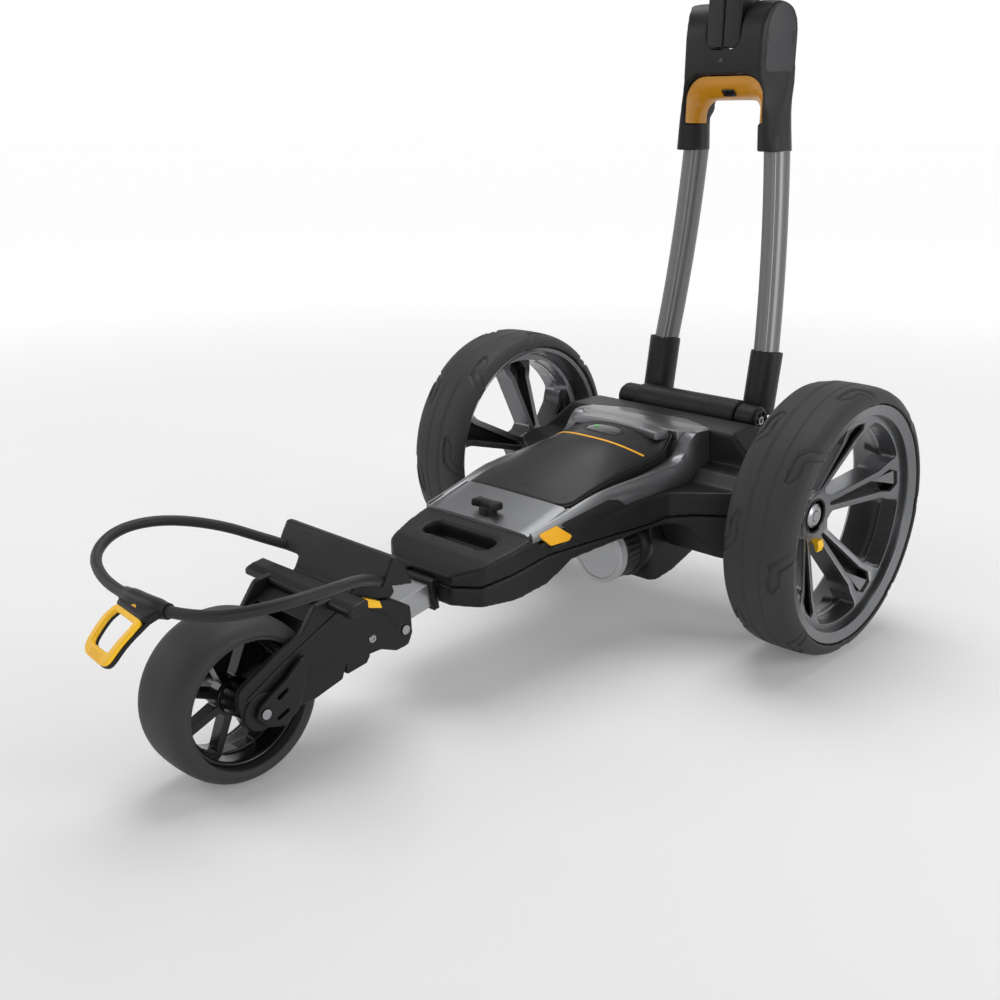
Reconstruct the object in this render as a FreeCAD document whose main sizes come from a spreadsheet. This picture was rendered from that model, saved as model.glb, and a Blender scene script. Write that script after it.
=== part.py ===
"""A compact folding golf trolley with an electric drive, as a parametric FreeCAD document.

Millimetres. +Z is up, the trolley's front is towards -Y and its right-hand wheel, seen from the front
right, is at +X. The origin is on the ground, at the middle of the trolley's length and width. Heights in
the sheet are above the ground, and lengths along the trolley are measured from the rear axle, minus to
the front. Every sub-part is placed with its Placement, and its sizes are bound to the sheet's cells.
"""

import FreeCAD, Part
import os
import math
import Sketcher
from FreeCAD import Vector

doc = FreeCAD.newDocument("golf_trolley")
sheet = doc.addObject("Spreadsheet::Sheet", "Sizes")

SIZES = {
    # wheels
    "wheelbase": 658.9, "rear_radius": 158.7, "front_radius": 83.4, "wheel_centre": 250.9,
    "wheel_half": 44.0, "rim_radius": 141.0, "rim_wall": 3.5, "lip_inner": 126.0,
    "hub_radius": 26.0, "hub_face": 17.0, "spoke_thick": 9.0, "tyre_shoulder": 150.4,
    "front_half": 37.8, "front_rim": 64.0, "front_rim_half": 26.5, "front_hub": 15.0, "front_hub_half": 38.5,
    "axle_bore": 6.05, "axle_radius": 6.0, "axle_reach": 240.0,
    # chassis
    "nose_front": -411.0, "nose_half": 60.0, "body_front_half": 82.0, "body_mid_half": 88.0,
    "body_rear_half": 100.0, "axle_half": 195.0, "body_rear": 60.0,
    "deck_front": -314.0, "battery_front": -262.0, "battery_rear": -42.0, "deck_rear": -19.0,
    "deck_front_top": 179.0, "battery_front_top": 196.0, "battery_rear_top": 224.0, "deck_rear_top": 241.0,
    "battery_crown": 243.0, "battery_half": 76.0, "tray_floor": 158.0,
    "belly_low": 110.0, "belly_mid": 136.0, "belly_high": 145.0, "axle_low": 104.0,
    "parting_nose": 134.0, "parting_mid": 150.0, "parting_rear": 157.0,
    # motor and gearbox
    "motor_side": 40.0, "motor_height": 104.0, "motor_radius": 37.3, "motor_front": -159.0,
    "motor_back": -105.0, "cap_length": 12.0, "gear_case_half": 38.0, "worm_radius": 11.0,
    "worm_wheel_radius": 42.5,
    # front boom and fork
    "boom_half": 20.0, "boom_tall": 27.0, "boom_wall": 2.5, "boom_length": 176.0,
    "boom_drop": 10.5, "fork_pivot_y": -478.0, "fork_pivot_z": 108.0,
    "fork_half": 50.0, "fork_arm": 8.5, "wheel_room": 92.0,
    "cradle_half": 84.0, "strap_size": 10.6,
    # lower handle
    "hinge_y": 75.0, "hinge_z": 238.0, "barrel_half": 77.5, "barrel_radius": 21.0, "knuckle_radius": 18.0,
    "knuckle_out": 105.0, "hinge_pin_radius": 5.0, "tube_arc": 1515.0, "tube_x_low": 80.8,
    "tube_x_top": 60.8, "tube_y_top": 141.5, "tube_z_low": 272.0, "tube_bend": 545.0,
    "tube_z_top": 600.0, "tube_wide": 30.0, "tube_deep": 37.0, "tube_wall": 2.0, "socket_radius": 20.5,
    # yoke and upper handle
    "yoke_half": 70.0, "yoke_gap": 34.0, "yoke_front": 97.0, "rear_extent": 167.0, "yoke_low": 557.0,
    "latch_low": 630.0, "latch_top": 643.0, "latch_travel": 8.0, "yoke_top": 722.0, "pivot_y": 128.0,
    "pivot_z": 697.0, "slot_low": 671.0, "stem_half": 29.5, "stem_deep": 40.0, "stem_top": 940.0,
    "pin_radius": 6.0, "bag_support_z": 850.0, "bag_support_half": 98.0, "head_half": 62.0, "head_low": 925.0,
    "head_top": 1012.0, "grip_radius": 16.0, "grip_out": 165.0, "grip_z": 985.0,
}


class Length:
    """A number with the sheet expression that it stands for, so that arithmetic keeps both."""

    def __init__(self, value, text=None):
        self.value = float(value)
        self.text = text or repr(float(value))

    def __add__(self, other):
        other = length(other)
        return Length(self.value + other.value, f"({self.text} + {other.text})")

    def __sub__(self, other):
        other = length(other)
        return Length(self.value - other.value, f"({self.text} - {other.text})")

    def __mul__(self, factor):
        return Length(self.value * factor, f"({self.text} * {factor})")

    def __truediv__(self, factor):
        return Length(self.value / factor, f"({self.text} / {factor})")

    def __neg__(self):
        return Length(-self.value, f"(0 - {self.text})")

    def __radd__(self, other):
        return length(other) + self

    def __rsub__(self, other):
        return length(other) - self


def length(value):
    return value if isinstance(value, Length) else Length(value)


class Cells:
    """The sheet's cells by name."""

    def __getattr__(self, alias):
        return Length(SIZES[alias], "Sizes." + alias)


S = Cells()


def fill_sheet():
    """One row for each driving size: its word in column A, its number in column B."""
    for row, (alias, value) in enumerate(SIZES.items(), start=1):
        sheet.set(f"A{row}", alias)
        sheet.set(f"B{row}", str(value))
        sheet.setAlias(f"B{row}", alias)
    doc.recompute()


fill_sheet()
AXLE_Y = (S.wheelbase + S.front_radius - S.rear_extent) / 2


# ---- PartDesign helpers -----------------------------------------------------------------------------

def make_body(label, x=0, y=0, z=0, turn=0, axis=(0, 0, 1)):
    """A body with its own label, placed from the rear axle's foot on the ground."""
    body = doc.addObject("PartDesign::Body", label)
    body.Label = label
    body.Placement = FreeCAD.Placement(Vector(0, 0, 0), FreeCAD.Rotation(Vector(*axis), turn))
    for name, value in (("x", length(x)), ("y", AXLE_Y + y), ("z", length(z))):
        body.setExpression("Placement.Base." + name, value.text)
    return body


def plane_of(body, name):
    return next(f for f in body.Origin.OriginFeatures if f.Role == name + "_Plane")


def new_sketch(body, plane, offset=0):
    sketch = body.newObject("Sketcher::SketchObject", "Sketch")
    sketch.AttachmentSupport = (plane_of(body, plane), "")
    sketch.MapMode = "FlatFace"
    sketch.setExpression("AttachmentOffset.Base.z", length(offset).text)
    return sketch


def bind(sketch, kind, geometry, point, value):
    """A signed distance from the sketch's origin to a point, driven by its expression."""
    value = length(value)
    index = sketch.addConstraint(Sketcher.Constraint(kind, -1, 1, geometry, point, value.value))
    sketch.setExpression(f"Constraints[{index}]", value.text)


def add_outline(sketch, points):
    """A closed outline of straight edges through points."""
    first = sketch.GeometryCount
    spots = [(length(a), length(b)) for a, b in points]
    for (a, b), (c, d) in zip(spots, spots[1:] + spots[:1]):
        sketch.addGeometry(Part.LineSegment(Vector(a.value, b.value, 0), Vector(c.value, d.value, 0)))
    for i, (a, b) in enumerate(spots):
        after = first + (i + 1) % len(spots)
        sketch.addConstraint(Sketcher.Constraint("Coincident", first + i, 2, after, 1))
        bind(sketch, "DistanceX", first + i, 1, a)
        bind(sketch, "DistanceY", first + i, 1, b)


def add_circle(sketch, radius, a=0, b=0):
    radius, a, b = length(radius), length(a), length(b)
    spot = sketch.addGeometry(Part.Circle(Vector(a.value, b.value, 0), Vector(0, 0, 1), radius.value))
    index = sketch.addConstraint(Sketcher.Constraint("Radius", spot, radius.value))
    sketch.setExpression(f"Constraints[{index}]", radius.text)
    bind(sketch, "DistanceX", spot, 3, a)
    bind(sketch, "DistanceY", spot, 3, b)


def add_oval(sketch, half_a, half_b, a=0, b=0):
    """A round-ended slot shape, longer along b, centred at a, b."""
    half_a, half_b, a, b = length(half_a), length(half_b), length(a), length(b)
    reach = half_b - half_a
    first = sketch.GeometryCount
    radius = half_a.value
    for sign, start in ((1, 0), (-1, math.pi)):
        centre = Vector(a.value, b.value + sign * reach.value, 0)
        circle = Part.Circle(centre, Vector(0, 0, 1), radius)
        sketch.addGeometry(Part.ArcOfCircle(circle, start, start + math.pi))
    left, right = a.value - radius, a.value + radius
    low, high = b.value - reach.value, b.value + reach.value
    sketch.addGeometry(Part.LineSegment(Vector(left, high, 0), Vector(left, low, 0)))
    sketch.addGeometry(Part.LineSegment(Vector(right, low, 0), Vector(right, high, 0)))
    for one, end, two, start in ((0, 2, 2, 1), (2, 2, 1, 1), (1, 2, 3, 1), (3, 2, 0, 1)):
        sketch.addConstraint(Sketcher.Constraint("Tangent", first + one, end, first + two, start))
    index = sketch.addConstraint(Sketcher.Constraint("Radius", first, radius))
    sketch.setExpression(f"Constraints[{index}]", half_a.text)
    for arc, height in ((0, b + reach), (1, b - reach)):
        bind(sketch, "DistanceX", first + arc, 3, a)
        bind(sketch, "DistanceY", first + arc, 3, height)


def volume(body):
    return body.Tip.Shape.Volume if body.Tip else 0.0


def checked(body, feature, grows, before):
    """Recomputes and stops if the feature didn't change the body's volume the way that it should."""
    body.Tip = feature
    doc.recompute()
    if "Invalid" in feature.State or "Error" in feature.State or feature.Shape.isNull():
        raise RuntimeError(f"{body.Label}: {feature.Name} failed")
    after = feature.Shape.Volume
    if (after - before) * (1 if grows else -1) <= 1e-3:
        raise RuntimeError(f"{body.Label}: {feature.Name} changed {before:.1f} to {after:.1f}")
    return feature


def pad(body, sketch, size, middle=False, down=False):
    before = volume(body)
    feature = body.newObject("PartDesign::Pad", "Pad")
    feature.Profile = sketch
    feature.Midplane = middle
    feature.Reversed = down
    feature.setExpression("Length", length(size).text)
    return checked(body, feature, True, before)


def pocket(body, sketch, size=None, middle=False, up=False):
    """Cuts to a depth, or right through both ways when there is no size."""
    before = volume(body)
    feature = body.newObject("PartDesign::Pocket", "Pocket")
    feature.Profile = sketch
    feature.Reversed = up
    feature.Midplane = middle or size is None
    if size is None:
        feature.Type = "ThroughAll"
    else:
        feature.setExpression("Length", length(size).text)
    return checked(body, feature, False, before)


def revolve(body, sketch, axis="H_Axis", angle=360, back=False):
    before = volume(body)
    feature = body.newObject("PartDesign::Revolution", "Revolution")
    feature.Profile = sketch
    feature.ReferenceAxis = (sketch, [axis])
    feature.Angle = angle
    feature.Reversed = back
    return checked(body, feature, True, before)


def repeat_round(body, feature, count, axis="X"):
    """The feature, count times round the body's own axis."""
    before = volume(body)
    pattern = body.newObject("PartDesign::PolarPattern", "PolarPattern")
    pattern.Originals = [feature]
    pattern.Axis = (next(f for f in body.Origin.OriginFeatures if f.Role == axis + "_Axis"), [""])
    pattern.Angle = 360
    pattern.Occurrences = count
    return checked(body, pattern, "Pad" in feature.Name, before)


def mirror(body, feature):
    """The feature again on the other side of the body's YZ plane."""
    before = volume(body)
    other = body.newObject("PartDesign::Mirrored", "Mirrored")
    other.Originals = [feature]
    other.MirrorPlane = (plane_of(body, "YZ"), [""])
    return checked(body, other, "Pad" in feature.Name, before)


def round_edges(body, radius, chosen):
    """Fillets the edges that chosen(edge) picks."""
    base = body.Tip
    names = [f"Edge{i + 1}" for i, edge in enumerate(base.Shape.Edges) if chosen(edge)]
    feature = body.newObject("PartDesign::Fillet", "Fillet")
    feature.Base = (base, names)
    feature.setExpression("Radius", length(radius).text)
    body.Tip = feature
    doc.recompute()
    if "Invalid" in feature.State or feature.Shape.isNull() or not feature.Shape.isValid():
        raise RuntimeError(f"{body.Label}: fillet of {len(names)} edges failed")


def along(axis, test=lambda middle: True):
    """Picks straight edges that run along an axis and whose middle passes a test."""
    def chosen(edge):
        if edge.Curve.TypeId != "Part::GeomLine":
            return False
        run = edge.tangentAt(edge.FirstParameter)
        return abs(getattr(run, axis)) > 0.999 and test(edge.CenterOfMass)
    return chosen


def trim_to_plan(body, outline, reach=700):
    """Cuts away everything outside a plan outline."""
    sketch = new_sketch(body, "XY")
    add_outline(sketch, [(-reach, -reach), (reach, -reach), (reach, reach), (-reach, reach)])
    add_outline(sketch, outline)
    return pocket(body, sketch)


def both_sides(half):
    """A closed plan outline from its +X half, listed from front to rear."""
    return [(-x, y) for x, y in reversed(half)] + list(half)


def block(label, x, y, z, wide, deep, tall, **place):
    """A plain block, centred on x and y, standing on z."""
    body = make_body(label, x, y, z, **place)
    sketch = new_sketch(body, "XY")
    wide, deep = length(wide) / 2, length(deep) / 2
    add_outline(sketch, [(-wide, -deep), (wide, -deep), (wide, deep), (-wide, deep)])
    pad(body, sketch, tall)
    return body


def rod(label, x, y, z, radius, size, along_axis="X", bore=None):
    """A round bar or sleeve centred at x, y, z."""
    body = make_body(label, x, y, z)
    sketch = new_sketch(body, {"X": "YZ", "Y": "XZ", "Z": "XY"}[along_axis])
    add_circle(sketch, radius)
    if bore is not None:
        add_circle(sketch, bore)
    pad(body, sketch, size, middle=True)
    return body


def rod_pair(label, x, y, z, radius, size, bore=None):
    """Two round bars or sleeves along X, one each side, as one node."""
    body = make_body(label, 0, y, z)
    sketch = new_sketch(body, "YZ", length(x) - length(size) / 2)
    add_circle(sketch, radius)
    if bore is not None:
        add_circle(sketch, bore)
    mirror(body, pad(body, sketch, size))
    return body


# ---- chassis ----------------------------------------------------------------------------------------

def chassis_plan(inset=0):
    """The +X half of the chassis outline seen from above, listed from front to rear."""
    flare = S.axle_half - inset
    return both_sides([
        (S.nose_half - 14, S.nose_front + inset),
        (S.body_front_half - 9 - inset, S.nose_front + 22 + inset),
        (S.body_front_half - inset, S.deck_front - 38),
        (S.body_mid_half - inset, S.battery_front),
        (S.body_rear_half - inset, -141),
        (S.body_rear_half + 6 - inset, -112),
        (flare, -44 + inset),
        (flare, 44 - inset),
        (S.knuckle_out + 12 - inset, S.body_rear - inset),
    ])


def parting_line():
    """The joint between the lower and upper shells, from the nose to the rear."""
    return [
        (S.nose_front - 5, S.parting_nose), (S.nose_front + 20, S.parting_nose),
        (-340, S.parting_nose + 9), (-300, S.parting_mid), (-136, S.parting_mid),
        (-93, S.parting_rear), (S.body_rear + 5, S.parting_rear),
    ]


def lower_shell():
    body = make_body("lower_shell")
    side = new_sketch(body, "YZ")
    belly = [
        (S.body_rear + 5, S.axle_low + 16), (48, S.axle_low), (-72, S.axle_low), (-98, S.belly_high),
        (-146, S.belly_high), (S.battery_front, S.belly_mid), (-300, S.belly_low + 7),
        (-345, S.belly_low), (S.nose_front - 5, S.belly_low + 2),
    ]
    add_outline(side, parting_line() + belly)
    pad(body, side, S.axle_half * 2, middle=True)
    trim_to_plan(body, chassis_plan())
    inside = new_sketch(body, "YZ")
    add_outline(inside, [
        (S.nose_front + 26, S.belly_low + 6), (-345, S.belly_low + 5), (-300, S.belly_low + 12),
        (S.battery_front, S.belly_mid + 5), (-146, S.belly_high + 4), (-104, S.belly_high + 4),
        (-104, S.parting_rear + 10), (-330, S.parting_rear + 10), (S.nose_front + 26, S.parting_rear + 10),
    ])
    pocket(body, inside, S.battery_half * 2 - 12, middle=True)
    wing = new_sketch(body, "XY", S.axle_low + 5)
    add_outline(wing, [(-178, -46), (-178, 40), (-8, 40), (-8, -90), (-88, -90), (-110, -84)])
    pocket(body, wing, 60, up=True)
    case = new_sketch(body, "XY", 60)
    left, right = S.motor_side - S.gear_case_half, S.motor_side + S.gear_case_half
    add_outline(case, [(left, -112), (right, -112), (right, 46), (left, 46)])
    pocket(body, case, 120, up=True)
    shaft = new_sketch(body, "YZ")
    add_circle(shaft, S.axle_radius + 1, 0, S.rear_radius)
    pocket(body, shaft)
    for side_x in (S.axle_half - 9, 9 - S.axle_half):
        seat = new_sketch(body, "YZ", side_x)
        add_circle(seat, 16, 0, S.rear_radius)
        pocket(body, seat, 18.2, middle=True)
    boom_channel(body)
    return body


def boom_channel(body):
    """Clears the boom tube, and its collar at the nose."""
    channel = new_sketch(body, "YZ")
    add_outline(channel, [(-431, 102.8), (-311, 125), (-311, 152.8), (-431, 130.6)])
    pocket(body, channel, S.boom_half * 2 + 0.2, middle=True)
    mouth = new_sketch(body, "YZ")
    add_outline(mouth, [(-431, 98), (-404.5, 98), (-404.5, 139), (-431, 139)])
    pocket(body, mouth, (S.boom_half + 4.8) * 2, middle=True)


def upper_shell():
    body = make_body("upper_shell")
    side = new_sketch(body, "YZ")
    top = [
        (S.body_rear + 5, S.deck_rear_top - 22), (S.body_rear - 8, S.deck_rear_top - 4),
        (38, S.deck_rear_top),
        (S.deck_rear, S.deck_rear_top),
    ]
    nose = [
        (S.deck_front, S.deck_front_top - 2), (-380, 160), (-398, 152), (S.nose_front - 5, 143),
    ]
    add_outline(side, parting_line() + top + deck_seat()[::-1] + nose)
    pad(body, side, S.axle_half * 2, middle=True)
    trim_to_plan(body, chassis_plan())
    slope = new_sketch(body, "XZ")
    outer = [(S.body_rear_half + 2, 262), (S.axle_half - 10, 190),
             (S.axle_half + 6, 180), (S.axle_half + 6, 262)]
    add_outline(slope, outer)
    mirror(body, pocket(body, slope))
    tray = new_sketch(body, "YZ")
    add_outline(tray, [
        (S.battery_front, S.tray_floor - 2), (S.battery_rear + 20, S.tray_floor - 2),
        (S.battery_rear + 20, 300), (S.battery_front, 300),
    ])
    pocket(body, tray, S.battery_half * 2 + 1, middle=True)
    inside = new_sketch(body, "YZ")
    add_outline(inside, [
        (S.nose_front + 92, 152), (S.nose_front + 92, S.parting_nose - 6), (-104, S.parting_nose - 6),
        (-104, 152),
    ])
    pocket(body, inside, S.battery_half * 2 - 12, middle=True)
    grip = new_sketch(body, "XY", 150.6)
    add_oval(grip, 13, 52)
    grip.AttachmentOffset = FreeCAD.Placement(
        Vector(0, -352, 150.6), FreeCAD.Rotation(Vector(0, 0, 1), 90))
    pocket(body, grip, 60, up=True)
    wings = new_sketch(body, "XY", S.parting_rear - 10)
    add_outline(wings, [(-178, -40), (-178, 36), (-104, 36), (-104, -40)])
    mirror(body, pocket(body, wings, 36, up=True))
    case = new_sketch(body, "YZ", S.motor_side)
    add_circle(case, S.worm_wheel_radius + 8, 0, S.rear_radius)
    pocket(body, case, S.gear_case_half * 2, middle=True)
    shaft = new_sketch(body, "YZ")
    add_circle(shaft, S.axle_radius + 1, 0, S.rear_radius)
    pocket(body, shaft)
    for side_x in (S.axle_half - 9, 9 - S.axle_half):
        seat = new_sketch(body, "YZ", side_x)
        add_circle(seat, 16, 0, S.rear_radius)
        pocket(body, seat, 18.2, middle=True)
    hinge = new_sketch(body, "YZ")
    add_circle(hinge, S.barrel_radius + 1.5, S.hinge_y, S.hinge_z)
    pocket(body, hinge, S.knuckle_out * 2 + 8, middle=True)
    badge = new_sketch(body, "YZ", S.body_front_half)
    add_outline(badge, badge_outline())
    mirror(body, pocket(body, badge, 9, up=True))
    boom_channel(body)
    return body


def badge_outline():
    """The yellow wedge seen from the side."""
    return [(-303, 165), (-296, 157), (-276, 160), (-268, 167), (-278, 174), (-300, 167)]


def deck_seat():
    """The line, from front to rear, where the deck panel sits on the upper shell."""
    return [
        (S.deck_front, S.deck_front_top - 14), (-278, 176), (-185, 181), (-61, 186), (-44, 199),
        (S.deck_rear, 203.5),
    ]


def deck_panel():
    """The silver frame round the battery: a sloping front panel, two side rails and a rear bridge."""
    body = make_body("deck_panel")
    side = new_sketch(body, "YZ")
    add_outline(side, deck_seat() + [
        (S.deck_rear, S.deck_rear_top), (S.deck_rear - 12, S.deck_rear_top - 3),
        (S.battery_rear - 3, S.battery_rear_top + 3), (S.battery_front, S.battery_front_top),
        (S.deck_front, S.deck_front_top),
    ])
    pad(body, side, S.axle_half * 2, middle=True)
    trim_to_plan(body, both_sides([
        (S.body_front_half - 1, S.deck_front - 5), (S.body_mid_half - 2, S.battery_front),
        (S.body_rear_half - 1, -141), (S.body_rear_half - 1, S.deck_rear + 5),
    ]))
    opening = new_sketch(body, "XY")
    half = S.battery_half + 0.5
    add_outline(opening, [
        (-half, S.battery_front), (half, S.battery_front), (half, S.battery_rear + 20),
        (-half, S.battery_rear + 20),
    ])
    pocket(body, opening)
    round_edges(body, 3, along("z", lambda spot: spot.y < -300))
    return body


def battery_pack():
    """The battery: a crowned cover over a box that drops into the tray."""
    body = make_body("battery_pack")
    side = new_sketch(body, "YZ")
    add_outline(side, [
        (S.battery_front + 1, S.tray_floor), (-51, S.tray_floor), (-51, 205), (S.battery_rear + 18, 205),
        (S.battery_rear + 18, S.battery_crown - 5), (S.battery_rear + 5, S.battery_crown),
        (-112, S.battery_crown - 1), (-186, S.battery_rear_top),
        (S.battery_front + 1, S.battery_front_top + 1),
    ])
    pad(body, side, S.battery_half * 2, middle=True)
    wedge = new_sketch(body, "XZ")
    add_outline(wedge, [
        (S.battery_half - 34, S.battery_crown + 1), (S.battery_half + 3, S.battery_rear_top),
        (S.battery_half + 3, S.battery_crown + 1),
    ])
    mirror(body, pocket(body, wedge))
    well = new_sketch(body, "XY", S.battery_crown - 6)
    add_oval(well, 12.3, 27.3)
    well.AttachmentOffset = FreeCAD.Placement(
        Vector(0, -106, S.battery_crown.value - 6), FreeCAD.Rotation(Vector(0, 0, 1), 90))
    pocket(body, well, 20, up=True)
    plug = new_sketch(body, "XY", S.tray_floor)
    add_outline(plug, [(-58, -166), (-22, -166), (-22, -134), (-58, -134)])
    pocket(body, plug, 6.5, up=True)
    return body


def indicator_button():
    body = make_body("indicator_button", 0, -106, S.battery_crown - 4.5)
    top = new_sketch(body, "XY")
    add_oval(top, 12, 27)
    top.AttachmentOffset = FreeCAD.Placement(Vector(0, 0, 0), FreeCAD.Rotation(Vector(0, 0, 1), 90))
    pad(body, top, 4.5)
    return body


def battery_tab():
    """The bright rear lip by which the battery is lifted out."""
    body = make_body("battery_tab")
    side = new_sketch(body, "YZ")
    add_outline(side, [
        (S.battery_rear + 5, S.battery_crown), (S.battery_rear + 18, S.battery_crown - 5),
        (S.battery_rear + 19, S.battery_crown), (S.battery_rear + 17, S.battery_crown + 3),
        (S.battery_rear + 4, S.battery_crown + 3),
    ])
    pad(body, side, 84, middle=True)
    return body


def side_badges():
    """Two plain yellow wedges let into the sides where the deck meets the nose."""
    body = make_body("side_badges")
    side = new_sketch(body, "YZ", S.body_front_half)
    add_outline(side, badge_outline())
    mirror(body, pad(body, side, 5.6))
    return body


def stow_catch():
    """The hooked post on the deck that holds the folded handle."""
    body = make_body("stow_catch", 0, -307, S.deck_front_top)
    foot = new_sketch(body, "YZ")
    add_outline(foot, [(-6, 0.34), (9, 5.24), (6, 19), (-4, 19)])
    pad(body, foot, 14, middle=True)
    head = new_sketch(body, "XY", 19)
    add_outline(head, [(-16, -8), (-6, -5), (6, -5), (16, -8), (18, 2), (6, 6), (-6, 6), (-18, 2)])
    pad(body, head, 9)
    return body


def motor():
    """The motor can, its bright end cap and the gearbox case on its rear end."""
    size = S.motor_back - S.motor_front - S.cap_length
    middle = S.motor_back - size / 2
    rod("motor_can", S.motor_side, middle, S.motor_height, S.motor_radius - 0.6, size, "Y", 14)
    cap = make_body("motor_end_cap", S.motor_side, S.motor_front, S.motor_height)
    disc = new_sketch(cap, "XZ")
    add_circle(disc, S.motor_radius)
    pad(cap, disc, S.cap_length, down=True)
    round_edges(cap, 1.2, lambda edge: edge.Curve.TypeId == "Part::GeomCircle")
    case = make_body("gearbox_case", S.motor_side, 0, 0)
    side = new_sketch(case, "YZ")
    add_outline(side, [
        (S.motor_back, 64), (-88, 60), (-56, 64), (2, 84), (14, 92), (30, 110), (34, 150), (34, 190),
        (-24, 200), (-44, 176), (-46, 156.6), (-60, 144), (S.motor_back, 144),
    ])
    pad(case, side, S.gear_case_half * 2, middle=True)
    room = new_sketch(case, "YZ")
    add_circle(room, S.worm_wheel_radius + 1.5, 0, S.rear_radius)
    pocket(case, room, 24, middle=True)
    bore = new_sketch(case, "XZ", -10)
    add_circle(bore, S.worm_radius + 1.2, 0, S.motor_height)
    pocket(case, bore, 140, up=True)
    shaft = new_sketch(case, "YZ")
    add_circle(shaft, S.axle_radius + 0.5, 0, S.rear_radius)
    pocket(case, shaft)


def drive_axle():
    """The rear axle with its worm wheel, and the motor's shaft with the worm that drives it."""
    rod("axle_shaft", 0, 0, S.rear_radius, S.axle_radius, S.axle_reach * 2 - 4)
    rod("worm_wheel", S.motor_side, 0, S.rear_radius, S.worm_wheel_radius, 22, "X", S.axle_radius)
    shaft = make_body("worm_shaft", S.motor_side, 0, S.motor_height)
    spin = new_sketch(shaft, "XY")
    add_outline(spin, [
        (0, S.motor_front + 20), (4, S.motor_front + 20), (4, -54), (S.worm_radius, -50),
        (S.worm_radius, 2), (4, 4), (4, 8), (0, 8),
    ])
    revolve(shaft, spin, "V_Axis")
    rod_pair("axle_bearings", S.axle_half - 9, 0, S.rear_radius, 15.9, 17.8, S.axle_bore)


def electronics():
    """The control board under the tray's floor, and the socket that the battery plugs into."""
    block("control_board", 0, -215, S.parting_mid - 0.4, 100, 60, 2.4)
    block("battery_socket", -40, -150, S.tray_floor - 2, 34, 30, 8)


def boom():
    """The square front tube, its collar at the nose, and the pin that the fork folds on."""
    tube = make_body("boom_tube", 0, S.fork_pivot_y, S.fork_pivot_z, turn=S.boom_drop.value, axis=(1, 0, 0))
    section = new_sketch(tube, "XZ", 10)
    half, tall = S.boom_half, S.boom_tall / 2
    add_outline(section, [(-half, -tall), (half, -tall), (half, tall), (-half, tall)])
    half, tall = S.boom_half - S.boom_wall, S.boom_tall / 2 - S.boom_wall
    add_outline(section, [(-half, -tall), (half, -tall), (half, tall), (-half, tall)])
    pad(tube, section, S.boom_length, down=True)
    hole = new_sketch(tube, "YZ")
    add_circle(hole, 5.05)
    pocket(tube, hole)
    collar = make_body(
        "boom_collar", 0, S.fork_pivot_y, S.fork_pivot_z, turn=S.boom_drop.value, axis=(1, 0, 0))
    ring = new_sketch(collar, "XZ", -62)
    for grow in (4.5, 0.1):
        half, tall = S.boom_half + grow, S.boom_tall / 2 + grow
        add_outline(ring, [(-half, -tall), (half, -tall), (half, tall), (-half, tall)])
    pad(collar, ring, 8, down=True)


def case_screws():
    """Four screws that close the two shells from below."""
    body = make_body("case_screws", 0, 0, S.axle_low - 3)
    for x, y in ((-150, -30), (150, -30), (-150, 30), (150, 30)):
        head = new_sketch(body, "XY")
        add_circle(head, 4, x, y)
        pad(body, head, 3)
    return body


# ---- wheels -----------------------------------------------------------------------------------------

def rear_tyre(name, x, turn):
    body = make_body("rear_tyre_" + name, x, 0, S.rear_radius, turn=turn)
    profile = new_sketch(body, "XZ")
    half, crown = S.wheel_half, S.rear_radius
    add_outline(profile, [
        (-half, S.rim_radius), (half, S.rim_radius), (half, S.tyre_shoulder - 2), (half - 7, crown - 4),
        (half - 20, crown - 0.8), (half - 32, crown), (32 - half, crown), (20 - half, crown - 0.8),
        (7 - half, crown - 4), (-half, S.tyre_shoulder - 2),
    ])
    revolve(body, profile)
    return body


def rear_rim(name, x, turn):
    """A deep rim: barrel, outer lip, dished hub disc and five forked spokes."""
    body = make_body("rear_rim_" + name, x, 0, S.rear_radius, turn=turn)
    profile = new_sketch(body, "XZ")
    half, outer, wall = S.wheel_half, S.rim_radius, S.rim_wall
    hub, face = S.hub_radius, -S.hub_face
    add_outline(profile, [
        (-half, outer), (half, outer), (half, S.lip_inner + 6), (half - 10, S.lip_inner),
        (half - 14, S.lip_inner), (face, hub), (face - 1, S.axle_bore), (-half + 6, S.axle_bore),
        (-half + 6, hub - 8), (face - 10, hub), (half - 16 - S.spoke_thick, S.lip_inner + 4),
        (half - 16 - S.spoke_thick, outer - wall), (-half, outer - wall),
    ])
    revolve(body, profile)
    gap = new_sketch(body, "YZ")
    reach = S.lip_inner - 4
    add_outline(gap, [
        (-7, hub + 6), (7, hub + 6), (reach * 0.42, reach * 0.80), (reach * 0.27, reach * 0.93),
        (0, reach * 0.97), (reach * -0.27, reach * 0.93), (reach * -0.42, reach * 0.80),
    ])
    repeat_round(body, pocket(body, gap), 5)
    fork = new_sketch(body, "YZ", half + 2)
    spread = math.radians(36)
    middle = (math.sin(spread), math.cos(spread))
    across = (math.cos(spread), -math.sin(spread))

    def place(out, side):
        return (length(out) * middle[0] + side * across[0], length(out) * middle[1] + side * across[1])

    add_outline(fork, [place(hub + 10, -1), place(hub + 10, 1), place(reach - 6, 11), place(reach - 6, -11)])
    repeat_round(body, pocket(body, fork, S.wheel_half + 14), 5)
    return body


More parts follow.
